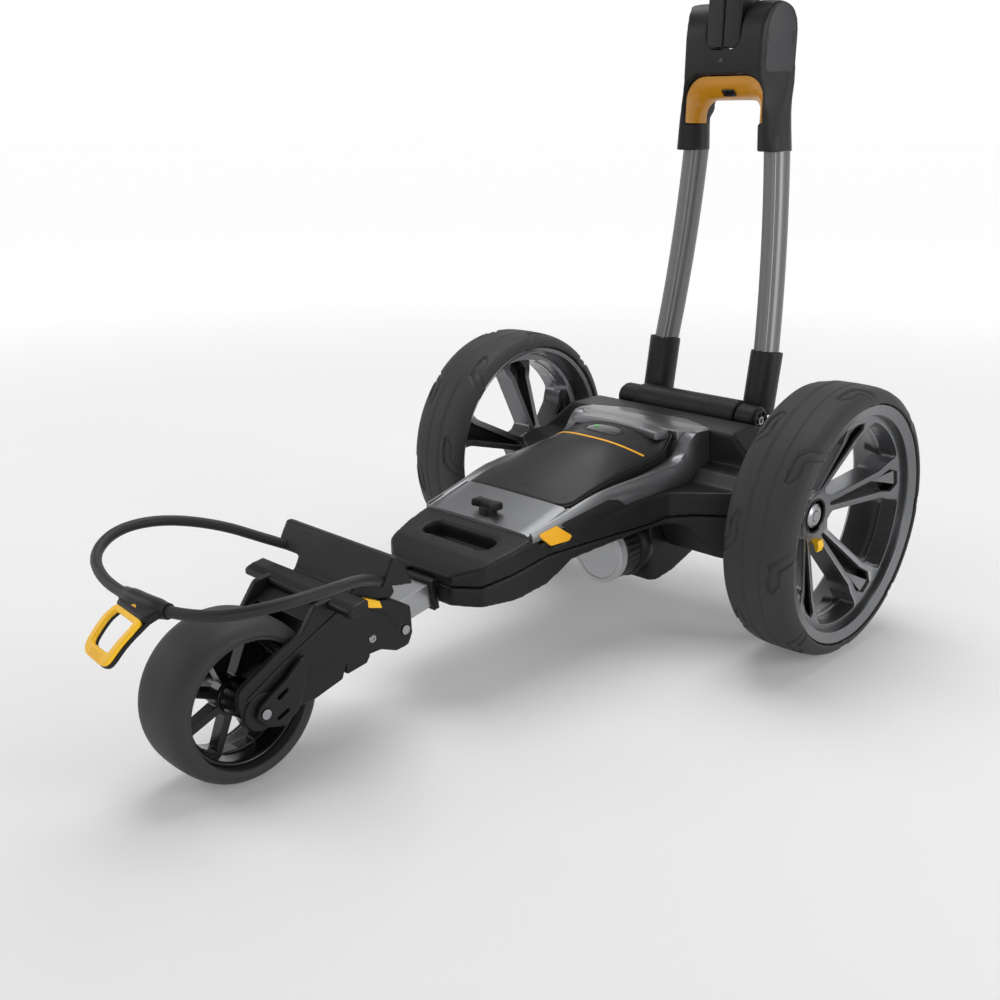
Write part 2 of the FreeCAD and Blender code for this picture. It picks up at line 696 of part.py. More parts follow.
def rear_wheel(name, sign):
    x = S.wheel_centre * sign
    turn = 0 if sign > 0 else 180
    rear_tyre(name, x, turn)
    rear_rim(name, x, turn)
    ring = make_body("hub_ring_" + name, x, 0, S.rear_radius, turn=turn)
    profile = new_sketch(ring, "XZ")
    face = -S.hub_face
    add_outline(profile, [(face, S.axle_bore + 0.4), (face, 15), (face + 2, 15), (face + 4, 11),
                          (face + 4, S.axle_bore + 0.4)])
    revolve(ring, profile)
    tab = make_body("wheel_release_" + name, x, 0, S.rear_radius, turn=turn)
    side = new_sketch(tab, "XZ")
    low = -S.hub_radius - 1.5
    add_outline(side, [
        (face + 3, low), (face + 13, low), (face + 15, low - 8), (face + 13, low - 14),
        (face + 10.5, low - 13), (face + 8, low - 5.5), (face + 3, low - 1.5),
    ])
    pad(tab, side, 12, middle=True)


def rear_wheels():
    for name, sign in (("left", -1), ("right", 1)):
        rear_wheel(name, sign)


def front_wheel():
    """A plain rounded tyre on a rim with eight thin spokes, and the bushes in its hub."""
    y, z = -S.wheelbase, S.front_radius
    tyre = make_body("front_tyre", 0, y, z)
    profile = new_sketch(tyre, "XZ")
    half, crown, rim, bed = S.front_half, S.front_radius, S.front_rim, S.front_rim_half
    add_outline(profile, [
        (-bed, rim), (bed, rim), (bed + 5, rim + 3), (half - 1, rim + 8.5), (half, rim + 11.5),
        (half - 3, crown - 4.5), (half - 11, crown - 1.5), (half - 22, crown), (22 - half, crown),
        (11 - half, crown - 1.5), (3 - half, crown - 4.5), (-half, rim + 11.5), (1 - half, rim + 8.5),
        (-bed - 5, rim + 3),
    ])
    revolve(tyre, profile)
    rim_body = make_body("front_rim", 0, y, z)
    profile = new_sketch(rim_body, "XZ")
    hub, hub_half = S.front_hub, S.front_hub_half
    add_outline(profile, [
        (-bed, rim), (bed, rim), (bed, rim - 3), (bed - 2, rim - 5), (7, rim - 6), (7, hub + 2),
        (hub_half, hub), (hub_half, 9.05), (-hub_half, 9.05), (-hub_half, hub), (-7, hub + 2),
        (-7, rim - 6), (2 - bed, rim - 5), (-bed, rim - 3),
    ])
    revolve(rim_body, profile)
    gap = new_sketch(rim_body, "YZ")
    add_outline(gap, [(-3.5, hub + 5), (3.5, hub + 5), (rim * 0.29, rim - 10), (0, rim - 8),
                      (rim * -0.29, rim - 10)])
    repeat_round(rim_body, pocket(rim_body, gap), 8)
    rod_pair("front_bushes", S.front_hub_half - 5, y, z, 9, 10, 5.05)


# ---- front fork -------------------------------------------------------------------------------------

def fork_housing():
    """The fork that carries the front wheel, hollowed for the wheel, the boom's end and the strap's eyes."""
    body = make_body("fork_housing")
    side = new_sketch(body, "YZ")
    wheel_y, wheel_z = -S.wheelbase, S.front_radius
    add_outline(side, [
        (wheel_y - 17, wheel_z - 7), (wheel_y - 7, wheel_z - 17), (wheel_y + 8, wheel_z - 17),
        (wheel_y + 62, wheel_z - 11), (wheel_y + 98, wheel_z + 4), (wheel_y + 104, wheel_z + 12),
        (wheel_y + 148, wheel_z + 13), (S.fork_pivot_y - 12, 88), (S.fork_pivot_y + 4, 90),
        (S.fork_pivot_y + 10, 102), (S.fork_pivot_y + 8, 132), (-494, 146), (-540, 156),
        (-575, 160), (-611, 141), (wheel_y + 9, wheel_z + 22), (wheel_y - 9, wheel_z + 16),
        (wheel_y - 17, wheel_z + 6),
    ])
    pad(body, side, S.fork_half * 2, middle=True)
    room = new_sketch(body, "YZ")
    add_circle(room, S.wheel_room, -S.wheelbase, S.front_radius)
    pocket(body, room, (S.fork_half - S.fork_arm) * 2, middle=True)
    tube = new_sketch(body, "YZ")
    add_outline(tube, [
        (S.fork_pivot_y - 24, 84), (S.fork_pivot_y + 40, 60), (S.fork_pivot_y + 40, 134),
        (S.fork_pivot_y - 10, 126), (S.fork_pivot_y - 24, 120),
    ])
    pocket(body, tube, S.boom_half * 2 + 1.6, middle=True)
    hole = new_sketch(body, "YZ")
    add_circle(hole, 5.05, -S.wheelbase, S.front_radius)
    add_circle(hole, 5.05, S.fork_pivot_y, S.fork_pivot_z)
    pocket(body, hole)
    return body


def front_axle_parts():
    rod("front_axle", 4.5, -S.wheelbase, S.front_radius, 5, S.fork_half * 2 + 11)
    rod("fork_pin", 0, S.fork_pivot_y, S.fork_pivot_z, 5, S.fork_half * 2 + 1)
    rod_pair("front_hub_caps", S.fork_half + 1.5, -S.wheelbase, S.front_radius, 19, 3, 5)


def tracking_lever():
    """The leaf-shaped lever on the near fork arm that clamps the front axle when the wheel is aligned."""
    body = make_body("tracking_lever", S.fork_half + 3.3, -S.wheelbase, S.front_radius)
    leaf = new_sketch(body, "YZ")
    add_outline(leaf, [
        (-9, -2), (-5, 9), (6, 16), (24, 26), (42, 41), (49, 43), (50, 34), (46, 10), (36, -10), (20, -20),
        (2, -15),
    ])
    pad(body, leaf, 6)
    slots = new_sketch(body, "YZ")
    add_outline(slots, [(13, 12), (26, 18), (27, 15), (15, 8)])
    add_outline(slots, [(11, -9), (25, -3), (27, -6), (13, -12)])
    add_circle(slots, 5.05)
    pocket(body, slots)
    return body


def bag_cradle():
    """The trough across the fork that the bag's base stands in: a tall rear wall and a low front lip."""
    body = make_body("bag_cradle")
    side = new_sketch(body, "YZ")
    add_outline(side, [
        (-577, 160.6), (-577, 167), (-568, 171), (-553, 173), (-549, 166), (-543, 166), (-521, 206),
        (-514, 206), (-502, 188), (-488, 152), (-494, 146.2), (-540, 156.2), (-575, 160.2),
    ])
    pad(body, side, S.cradle_half * 2, middle=True)
    under = new_sketch(body, "YZ", 67)
    add_outline(under, [(-552, 140), (-552, 180), (-536, 180), (-503, 174), (-480, 170), (-480, 140)])
    mirror(body, pocket(body, under, 40, middle=True))
    return body


def strap_route():
    """The strap's line from one end of the cradle's wall to the other, by hand, in this part's own frame."""
    half = [(72, -526, 181), (84, -545, 190), (112, -585, 210), (136, -635, 222), (136, -684, 223),
            (108, -724, 215), (58, -743, 209)]
    other = [(-x, y, z) for x, y, z in reversed(half)]
    return [Vector(x, y + AXLE_Y.value, z) for x, y, z in half + [(0, -747, 208)] + other]


def strap():
    """The rubber strap as straight runs joined by tangent arcs."""
    points = strap_route()
    edges, start, total = [], points[0], 0.0
    for before, corner, after in zip(points, points[1:], points[2:]):
        back, ahead = before - corner, after - corner
        shorter = min(back.Length, ahead.Length)
        back.normalize()
        ahead.normalize()
        turn = math.pi - back.getAngle(ahead)
        cut = 0.45 * shorter
        radius = cut / math.tan(turn / 2)
        enter, leave = corner + back * cut, corner + ahead * cut
        inward = back + ahead
        inward.normalize()
        middle = corner + inward * (radius / math.cos(turn / 2) - radius)
        edges += [Part.LineSegment(start, enter).toShape(), Part.Arc(enter, middle, leave).toShape()]
        total += (enter - start).Length + radius * turn
        start = leave
        print("strap bend radius", round(radius, 1), "turn", round(math.degrees(turn), 1))
    edges.append(Part.LineSegment(start, points[-1]).toShape())
    total += (points[-1] - start).Length
    wire = Part.Wire(edges)
    ring = Part.Circle(points[0], points[1] - points[0], SIZES["strap_size"] / 2)
    tube = wire.makePipeShell([Part.Wire([ring.toShape()])], True, True)
    section = math.pi * (SIZES["strap_size"] / 2) ** 2
    print("strap length", round(total, 1), "volume ratio", round(tube.Volume / section / total, 4))
    feature = doc.addObject("Part::Feature", "bag_strap")
    feature.Label = "bag_strap"
    feature.Shape = tube
    return feature


def strap_holder():
    """The sleeve at the strap's middle, and the finger loop that hooks over the bag's strap post."""
    sleeve = make_body("strap_sleeve", 20, -745.6, 208.3, turn=-42, axis=(1, 0, 0))
    body_shape = new_sketch(sleeve, "YZ")
    add_outline(body_shape, [
        (-10, -10), (10, -10), (11, 6), (6, 11), (-8, 11), (-12, 6),
    ])
    add_circle(body_shape, S.strap_size / 2 + 0.6)
    pad(sleeve, body_shape, 46, middle=True)
    hook = make_body("strap_hook", 20, -745.6, 208.3, turn=-138, axis=(1, 0, 0))
    loop = new_sketch(hook, "XY")
    add_outline(loop, [(-20, 10), (20, 10), (23, 15), (21, 51), (13, 60), (-13, 60), (-21, 51), (-23, 15)])
    add_outline(loop, [(-13, 20), (13, 20), (14, 46), (9, 52), (-9, 52), (-14, 46)])
    pad(hook, loop, 8, middle=True)


def fork_lever():
    """The yellow lever that frees the fork to fold."""
    body = make_body("fork_release", S.fork_half + 3.3, -524, 152.5)
    side = new_sketch(body, "YZ")
    add_outline(side, [(-10, 8.5), (8, 0), (11, -8), (-6, -3), (-12, 5)])
    pad(body, side, 6, middle=True)
    return body


# ---- lower handle -----------------------------------------------------------------------------------

def hinge_parts():
    """The handle's main hinge: fixed knuckles and pin on the chassis, and the barrel that turns."""
    barrel = make_body("hinge_barrel", 0, S.hinge_y, S.hinge_z)
    ring = new_sketch(barrel, "YZ")
    add_circle(ring, S.barrel_radius)
    add_circle(ring, S.hinge_pin_radius + 0.05)
    pad(barrel, ring, S.barrel_half * 2, middle=True)
    rod("hinge_pin", 0, S.hinge_y, S.hinge_z, S.hinge_pin_radius, S.knuckle_out * 2 - 2)
    knuckles = make_body("hinge_knuckles", 0, S.hinge_y, S.hinge_z)
    side = new_sketch(knuckles, "YZ", S.barrel_half + 0.5)
    radius = S.knuckle_radius
    round_top = [(radius * math.cos(math.radians(a)), radius * math.sin(math.radians(a)))
                 for a in range(-20, 181, 20)]
    add_outline(side, round_top + [(-15, -11), (-15, -46), (10, -24)])
    add_circle(side, S.hinge_pin_radius)
    mirror(knuckles, pad(knuckles, side, S.knuckle_out - S.barrel_half - 0.5))
    rod_pair("hinge_caps", S.knuckle_out + 1.5, S.hinge_y, S.hinge_z, 11, 3)


def handle_sockets():
    """The two sockets that carry the tubes, cut clear of the fixed knuckles."""
    lean = math.radians(8.5)
    down_y, down_z = S.hinge_y - 113, S.hinge_z - 249
    axis_y = down_y * math.cos(lean) - down_z * math.sin(lean)
    axis_z = down_y * math.sin(lean) + down_z * math.cos(lean)
    body = make_body("handle_sockets", 0, 113, 249, turn=-8.5, axis=(1, 0, 0))
    cups = new_sketch(body, "XY", -12)
    for sign in (-1, 1):
        add_circle(cups, S.socket_radius, (S.tube_x_low - 0.7) * sign, 0)
    pad(body, cups, 80)
    for sign in (-1, 1):
        hole = new_sketch(body, "XY", 20)
        add_oval(hole, S.tube_wide / 2 + 0.4, S.tube_deep / 2 + 0.9)
        hole.AttachmentOffset = FreeCAD.Placement(
            Vector((S.tube_x_low.value + 1.1) * sign, 0.4, 20),
            FreeCAD.Rotation(Vector(0, 1, 0), -tube_lean() * sign))
        pocket(body, hole, 60, up=True)
    knuckle = (S.knuckle_out + 5, S.knuckle_radius + 1.2)
    for reach, radius in (knuckle, (S.barrel_half + 0.5, S.barrel_radius)):
        clear = new_sketch(body, "YZ")
        add_circle(clear, radius, axis_y, axis_z)
        pocket(body, clear, reach * 2, middle=True)


def handle_tubes():
    """The two gently bowed oval tubes between the sockets and the yoke."""
    for name, sign in (("left", -1), ("right", 1)):
        body = make_body("handle_tube_" + name, S.tube_x_top * sign, S.tube_y_top, S.tube_bend,
                         turn=-tube_lean() * sign, axis=(0, 1, 0))
        section = new_sketch(body, "XY")
        add_oval(section, S.tube_wide / 2, S.tube_deep / 2, 0, 0)
        add_oval(section, S.tube_wide / 2 - S.tube_wall, S.tube_deep / 2 - S.tube_wall, 0, 0)
        spine = body.newObject("Sketcher::SketchObject", "Spine")
        spine.AttachmentSupport = (plane_of(body, "YZ"), "")
        spine.MapMode = "FlatFace"
        radius = S.tube_arc.value
        low = -(S.tube_bend.value - S.tube_z_low.value) / radius
        arc = Part.ArcOfCircle(Part.Circle(Vector(-radius, 0, 0), Vector(0, 0, 1), radius), low, 0)
        spine.addGeometry(arc)
        index = spine.addConstraint(Sketcher.Constraint("Radius", 0, radius))
        spine.setExpression(f"Constraints[{index}]", S.tube_arc.text)
        bind(spine, "DistanceX", 0, 3, -S.tube_arc)
        bind(spine, "DistanceY", 0, 3, 0)
        before = volume(body)
        pipe = body.newObject("PartDesign::AdditivePipe", "Pipe")
        pipe.Profile = section
        pipe.Spine = (spine, ["Edge1"])
        checked(body, pipe, True, before)
        end = new_sketch(body, "XY")
        add_oval(end, S.tube_wide / 2, S.tube_deep / 2, 0, 0)
        add_oval(end, S.tube_wide / 2 - S.tube_wall, S.tube_deep / 2 - S.tube_wall, 0, 0)
        pad(body, end, S.tube_z_top - S.tube_bend - 2)


def tube_lean():
    """How far each tube leans inward on its way up, in degrees."""
    return math.degrees(math.atan2(S.tube_x_low.value - S.tube_x_top.value, 260))


def yoke():
    """The black head of the lower handle: two legs on the tubes, a front bridge and two hinge lobes."""
    body = make_body("yoke")
    side = new_sketch(body, "YZ")
    rear = S.rear_extent
    add_outline(side, [
        (115, S.yoke_low), (rear - 2, S.yoke_low), (rear, S.yoke_low + 12), (rear - 8, 640),
        (S.pivot_y + 28, S.pivot_z - 12), (S.pivot_y + 27, S.pivot_z + 6), (S.pivot_y + 17, S.yoke_top - 5),
        (S.pivot_y + 3, S.yoke_top), (S.pivot_y - 10, S.yoke_top - 1), (S.yoke_front + 9, S.yoke_top - 9),
        (S.yoke_front + 2, S.pivot_z + 4), (S.yoke_front, S.slot_low), (S.yoke_front + 1, 640),
        (112, S.yoke_low + 16),
    ])
    half = S.yoke_half
    pad(body, side, (half + 9) * 2, middle=True)
    taper = new_sketch(body, "XZ")
    add_outline(taper, [
        (half - 8, S.yoke_top + 2), (half - 1, 712), (half - 1, 645), (half + 9, S.yoke_low - 2),
        (half + 20, S.yoke_low - 2), (half + 20, S.yoke_top + 2),
    ])
    mirror(body, pocket(body, taper))
    for low, high, edge, front in ((S.yoke_low - 2, 640, half + 5, 113), (640, S.yoke_top + 2, half - 1, 97)):
        corners = new_sketch(body, "XY", low)
        for sign in (-1, 1):
            out, reach = edge - 11, edge + 12
            add_outline(corners, [(out * sign, front - 4), (reach * sign, front - 4),
                                  (reach * sign, front + 22)])
            add_outline(corners, [(out * sign, rear + 3), (reach * sign, rear + 3),
                                  (reach * sign, rear - 23)])
        pocket(body, corners, high - low, up=True)
    gap = new_sketch(body, "XZ")
    gap_half = S.yoke_gap
    add_outline(gap, [
        (-gap_half - 5, S.yoke_low - 2), (gap_half + 5, S.yoke_low - 2), (gap_half, 590),
        (gap_half, S.latch_low - 4), (gap_half - 8, S.latch_low), (8 - gap_half, S.latch_low),
        (-gap_half, S.latch_low - 4), (-gap_half, 590),
    ])
    pocket(body, gap)
    back = new_sketch(body, "YZ")
    add_outline(back, [
        (S.yoke_front + 18, S.latch_low - 8), (S.yoke_front + 18, S.slot_low), (S.yoke_front - 4, S.slot_low),
        (S.yoke_front - 4, S.yoke_top + 6), (rear + 6, S.yoke_top + 6), (rear + 6, S.latch_low - 8),
    ])
    pocket(body, back, (S.stem_half + 1) * 2, middle=True)
    recess = new_sketch(body, "XZ", -S.yoke_front - 36.6)
    add_outline(recess, latch_outline(0.6, S.latch_travel + 0.8))
    pocket(body, recess, 40, up=True)
    bore = new_sketch(body, "YZ")
    add_circle(bore, S.pin_radius + 0.05, S.pivot_y, S.pivot_z)
    pocket(body, bore)
    for sign in (-1, 1):
        socket = new_sketch(body, "XY", S.tube_bend)
        add_oval(socket, S.tube_wide / 2 + 0.1, S.tube_deep / 2 + 0.1)
        socket.AttachmentOffset = FreeCAD.Placement(
            Vector(S.tube_x_top.value * sign, S.tube_y_top.value, S.tube_bend.value),
            FreeCAD.Rotation(Vector(0, 1, 0), -tube_lean() * sign))
        pocket(body, socket, S.tube_z_top - S.tube_bend, up=True)
    return body


def latch_outline(grow, lift):
    """The arch latch seen from the front, grown by a clearance all round and by a lift on top."""
    half, foot, inner = 42 + grow, 588 - grow, 32 - grow
    top, low = S.latch_top + grow + lift, S.latch_low - grow
    return [
        (-half, foot), (-inner, foot), (-inner, low - 6), (6 - inner, low), (inner - 6, low),
        (inner, low - 6), (inner, foot), (half, foot),
        (half, top - 14), (half - 12, top), (12 - half, top), (-half, top - 14),
    ]


def yoke_latch():
    """The yellow arch that the user lifts to unlock the handle, notched for the stow catch."""
    body = make_body("yoke_latch")
    front = new_sketch(body, "XZ", -S.yoke_front - 36)
    add_outline(front, latch_outline(0, 0))
    pad(body, front, 34)
    behind = new_sketch(body, "XZ", -S.yoke_front - 40)
    low, top = S.latch_low, S.latch_top + 2
    add_outline(behind, [(-31, 600), (31, 600), (31, top), (-31, top)])
    pocket(body, behind, 22.6, up=True)
    notch = new_sketch(body, "XZ", -S.yoke_front - 40)
    add_outline(notch, [(-19.5, low - 8), (19.5, low - 8), (19.5, low + 4.5), (-19.5, low + 4.5)])
    pocket(body, notch, 60, up=True)
    return body


def latch_springs():
    """The two small springs that press the latch down, as sleeves above its shoulders."""
    body = make_body("latch_springs", 0, S.yoke_front + 8, S.latch_top + 0.2)
    for x in (-22, 22):
        coil = new_sketch(body, "XY")
        add_circle(coil, 2.5, x, 0)
        add_circle(coil, 1.5, x, 0)
        pad(body, coil, S.latch_travel)
    return body


def yoke_caps():
    """The pill-shaped covers over the ends of the stem's pivot."""
    body = make_body("yoke_caps", 0, S.pivot_y + 0.5, S.pivot_z - 13)
    cover = new_sketch(body, "YZ", S.yoke_half - 1)
    add_oval(cover, 21, 36)
    mirror(body, pad(body, cover, 4.8))


# ---- upper handle -----------------------------------------------------------------------------------

def stem():
    """The flat stem that folds back behind the yoke, with a groove down its front."""
    body = make_body("upper_stem")
    side = new_sketch(body, "YZ")
    front, deep = S.yoke_front, S.stem_deep
    add_outline(side, [
        (front, S.slot_low + 8), (front + 6, S.slot_low + 0.5), (front + deep - 4, S.slot_low + 10),
        (front + deep, S.slot_low + 22), (front + deep, S.stem_top), (front, S.stem_top),
    ])
    pad(body, side, S.stem_half * 2, middle=True)
    groove = new_sketch(body, "XY", S.slot_low - 5)
    add_outline(groove, [(-1.2, front - 1), (1.2, front - 1), (1.2, front + 2), (-1.2, front + 2)])
    pocket(body, groove, 300, up=True)
    bore = new_sketch(body, "YZ")
    add_circle(bore, S.pin_radius, S.pivot_y, S.pivot_z)
    pocket(body, bore)
    hollow = new_sketch(body, "XY", S.stem_top)
    inner, back = S.stem_half - 2.5, front + deep - 2.5
    add_outline(hollow, [(-inner, front + 4.5), (inner, front + 4.5), (inner, back), (-inner, back)])
    pocket(body, hollow, S.stem_top - S.yoke_top)
    rod("stem_pin", 0, S.pivot_y, S.pivot_z, S.pin_radius, S.yoke_half * 2 - 8)
    return body


def upper_bag_support():
    """The upper cradle that the bag leans into, wrapped round the stem's front."""
    body = make_body("upper_bag_support", 0, 0, S.bag_support_z)
    plan = new_sketch(body, "XY")
    half, front = S.bag_support_half, S.yoke_front
    add_outline(plan, [
        (-half, 46), (-half + 9, 43), (-66, 66), (-34, 83), (0, 88), (34, 83), (66, 66), (half - 9, 43),
        (half, 46), (72, 76), (44, front), (-44, front), (-72, 76),
    ])
    pad(body, plan, 40)
    return body


def handle_head():
    """The control head on the stem, its two grips, the display, the speed dial and the power button."""
    head = make_body("handle_head")
    side = new_sketch(head, "YZ")
    front, rear = S.yoke_front, S.rear_extent
    add_outline(side, [
        (front - 4, S.stem_top), (rear - 18, S.stem_top), (rear - 6, S.head_low + 40),
        (rear - 2, S.head_low + 56), (S.pivot_y + 20, S.head_top), (front + 6, S.head_top),
        (front - 6, S.head_top - 16), (front - 8, S.head_top - 44),
    ])
    pad(head, side, S.head_half * 2, middle=True)
    dial_well = new_sketch(head, "YZ")
    add_circle(dial_well, 13, rear - 14, S.head_low + 46)
    pocket(head, dial_well, 13, middle=True)
    button_well = new_sketch(head, "XY", S.head_top - 3)
    add_circle(button_well, 7.4, 48, front + 27)
    pocket(head, button_well, 10, up=True)
    rod_pair("grips", (S.head_half + S.grip_out) / 2, S.yoke_front + 34, S.grip_z, S.grip_radius,
             S.grip_out - S.head_half)
    return head


def controls():
    """The dial rides in the head's rear edge, the display and the button on its top."""
    rod("speed_dial", 0, S.rear_extent - 14, S.head_low + 46, 12, 12)
    block("display", 0, S.yoke_front + 27, S.head_top, 74, 34, 2)
    rod("power_button", 48, S.yoke_front + 27, S.head_top + 0.1, 7, 3.8, "Z")


MAKERS = [lower_shell, upper_shell, deck_panel, battery_pack, indicator_button, battery_tab, side_badges,
          stow_catch, motor, drive_axle, electronics, boom, case_screws, rear_wheels, front_wheel,
          fork_housing, front_axle_parts, tracking_lever, bag_cradle, strap, strap_holder,
          fork_lever, hinge_parts, handle_sockets, handle_tubes,
          yoke, yoke_latch, latch_springs, yoke_caps, stem, upper_bag_support, handle_head, controls]


def main():
    for make in MAKERS:
        make()
    doc.recompute()
    failed = [o.Name for o in doc.Objects if "Invalid" in o.State or "Error" in o.State]
    if failed:
        raise RuntimeError(f"these objects failed: {failed}")
    parts = [o for o in doc.Objects if o.TypeId in ("PartDesign::Body", "Part::Feature")]
    for part in parts:
        if part.Shape.isNull() or not part.Shape.isValid():
            raise RuntimeError(f"{part.Label} has no valid shape")
        print(part.Label, len(part.Shape.Solids), round(part.Shape.Volume), part.Shape.BoundBox)
    os.makedirs("parts", exist_ok=True)
    for part in parts:
        part.Shape.exportStep(f"parts/{part.Label}.step")
    print(len(parts), "sub-parts written")


main()
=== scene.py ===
import math

import bmesh
import bpy
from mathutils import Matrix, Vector
from mathutils.bvhtree import BVHTree


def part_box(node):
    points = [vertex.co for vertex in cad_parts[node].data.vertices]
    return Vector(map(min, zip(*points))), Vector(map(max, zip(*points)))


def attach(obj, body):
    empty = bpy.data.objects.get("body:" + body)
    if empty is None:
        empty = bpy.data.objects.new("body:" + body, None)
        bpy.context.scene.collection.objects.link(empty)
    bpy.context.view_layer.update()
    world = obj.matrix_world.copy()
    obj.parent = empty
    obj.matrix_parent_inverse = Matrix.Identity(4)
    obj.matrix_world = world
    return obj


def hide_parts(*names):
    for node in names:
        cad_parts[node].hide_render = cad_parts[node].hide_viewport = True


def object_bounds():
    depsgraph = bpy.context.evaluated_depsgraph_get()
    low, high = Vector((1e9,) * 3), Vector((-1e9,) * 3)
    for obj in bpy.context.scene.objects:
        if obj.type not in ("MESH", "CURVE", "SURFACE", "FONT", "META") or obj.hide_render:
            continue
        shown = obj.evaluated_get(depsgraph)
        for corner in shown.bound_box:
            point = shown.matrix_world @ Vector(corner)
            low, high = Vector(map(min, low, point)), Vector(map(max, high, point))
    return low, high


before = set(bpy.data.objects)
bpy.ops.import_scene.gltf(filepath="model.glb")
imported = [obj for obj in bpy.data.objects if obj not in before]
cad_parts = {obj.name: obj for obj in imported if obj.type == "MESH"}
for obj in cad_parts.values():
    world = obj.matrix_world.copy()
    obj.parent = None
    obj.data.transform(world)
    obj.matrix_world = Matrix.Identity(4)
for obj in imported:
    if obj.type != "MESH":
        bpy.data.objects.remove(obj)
cad_box = [list(corner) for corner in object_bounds()]

MM = 0.001
TYRE_LOW, TYRE_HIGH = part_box("rear_tyre_right")
AXLE = (TYRE_LOW + TYRE_HIGH) / 2
AXLE_Y = AXLE.y

def at(x, y, z):
    """A point given in millimetres from the rear axle's line and the ground."""
    return Vector((x * MM, y * MM + AXLE_Y, z * MM))

def box_of(node):
    """A solid's lowest and highest corner in the millimetres that at() takes."""
    return [Vector((p.x, p.y - AXLE_Y, p.z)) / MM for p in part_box(node)]

def add_object(name, data):
    """A new object in the scene."""
    obj = bpy.data.objects.new(name, data)
    bpy.context.scene.collection.objects.link(obj)
    return obj

def srgb(*levels):
    """Linear colour of three display levels from 0 to 255."""
    return tuple((v / 255 / 12.92) if v < 10 else ((v / 255 + 0.055) / 1.055) ** 2.4 for v in levels)

# --- materials ---------------------------------------------------------------------------------------

def add_node(tree, kind, **inputs):
    """A shader node with the named inputs set."""
    node = tree.nodes.new(kind)
    for key, value in inputs.items():
        node.inputs[key].default_value = value
    return node

def noise(tree, coords, scale, detail, stretch):
    """A noise texture in object space, stretched along its axes."""
    mapping = add_node(tree, "ShaderNodeMapping", Scale=stretch)
    tree.links.new(coords.outputs["Object"], mapping.inputs["Vector"])
    node = add_node(tree, "ShaderNodeTexNoise", Scale=scale, Detail=detail)
    tree.links.new(mapping.outputs["Vector"], node.inputs["Vector"])
    return node.outputs["Fac"]

def remap(tree, source, start, end, low, high, smooth=False):
    """Maps start to end onto low to high."""
    node = tree.nodes.new("ShaderNodeMapRange")
    node.interpolation_type = "SMOOTHSTEP" if smooth else "LINEAR"
    for key, value in (("From Min", start), ("From Max", end), ("To Min", low), ("To Max", high)):
        node.inputs[key].default_value = value
    tree.links.new(source, node.inputs["Value"])
    return node.outputs["Result"]

def spread(tree, source, low, high):
    """The middle of a noise, stretched over low to high."""
    return remap(tree, source, 0.3, 0.7, low, high)

def colour_mix(tree, factor):
    """A mix of two colours, its inputs A and B still to be set."""
    mix = tree.nodes.new("ShaderNodeMix")
    mix.data_type = "RGBA"
    tree.links.new(factor, mix.inputs["Factor"])
    return mix

def finish_of(name, colour, rough, metal=0.0, grain=900.0, depth=0.02, vary=0.1, coat=0.0,
              stretch=(1, 1, 1), edge=0.0, clear=0.5):
    """A procedural finish: shade and roughness vary in broad patches, and a fine grain lifts the surface."""
    mat = bpy.data.materials.new(name)
    mat.use_nodes = True
    tree = mat.node_tree
    shader = tree.nodes["Principled BSDF"]
    for key, value in (("Metallic", metal), ("Coat Weight", coat), ("Coat Roughness", 0.12),
                       ("Specular IOR Level", clear)):
        shader.inputs[key].default_value = value
    coords = tree.nodes.new("ShaderNodeTexCoord")
    broad = noise(tree, coords, 14.0, 4.0, stretch)
    fine = noise(tree, coords, grain, 2.0, stretch)
    blend = tree.nodes.new("ShaderNodeMath")
    blend.operation = "MULTIPLY_ADD"
    blend.inputs[1].default_value = 0.6
    tree.links.new(spread(tree, broad, 0, 1), blend.inputs[0])
    tree.links.new(spread(tree, fine, 0, 0.4), blend.inputs[2])
    mix = colour_mix(tree, blend.outputs[0])
    mix.inputs["A"].default_value = (*(c * (1 - vary) for c in colour), 1)
    mix.inputs["B"].default_value = (*(c * (1 + vary) for c in colour), 1)
    result = mix.outputs["Result"]
    # Painted highlights: sharp edges are lightened in the colour itself.
    if edge:
        result = painted_edge_highlights(tree, result, colour, edge)
    tree.links.new(result, shader.inputs["Base Color"])
    tree.links.new(spread(tree, broad, rough * 0.85, min(1.0, rough * 1.15)), shader.inputs["Roughness"])
    bump = add_node(tree, "ShaderNodeBump", Strength=0.6, Distance=depth * MM)
    tree.links.new(fine, bump.inputs["Height"])
    tree.links.new(bump.outputs["Normal"], shader.inputs["Normal"])
    return mat

def painted_edge_highlights(tree, base, colour, amount):
    """Painted highlights: edges made lighter by how sharply the surface turns."""
    geometry = tree.nodes.new("ShaderNodeNewGeometry")
    mix = colour_mix(tree, remap(tree, geometry.outputs["Pointiness"], 0.53, 0.66, 0.0, amount))
    mix.inputs["B"].default_value = (*(min(1.0, c * 2.2 + 0.02) for c in colour), 1)
    tree.links.new(base, mix.inputs["A"])
    return mix.outputs["Result"]
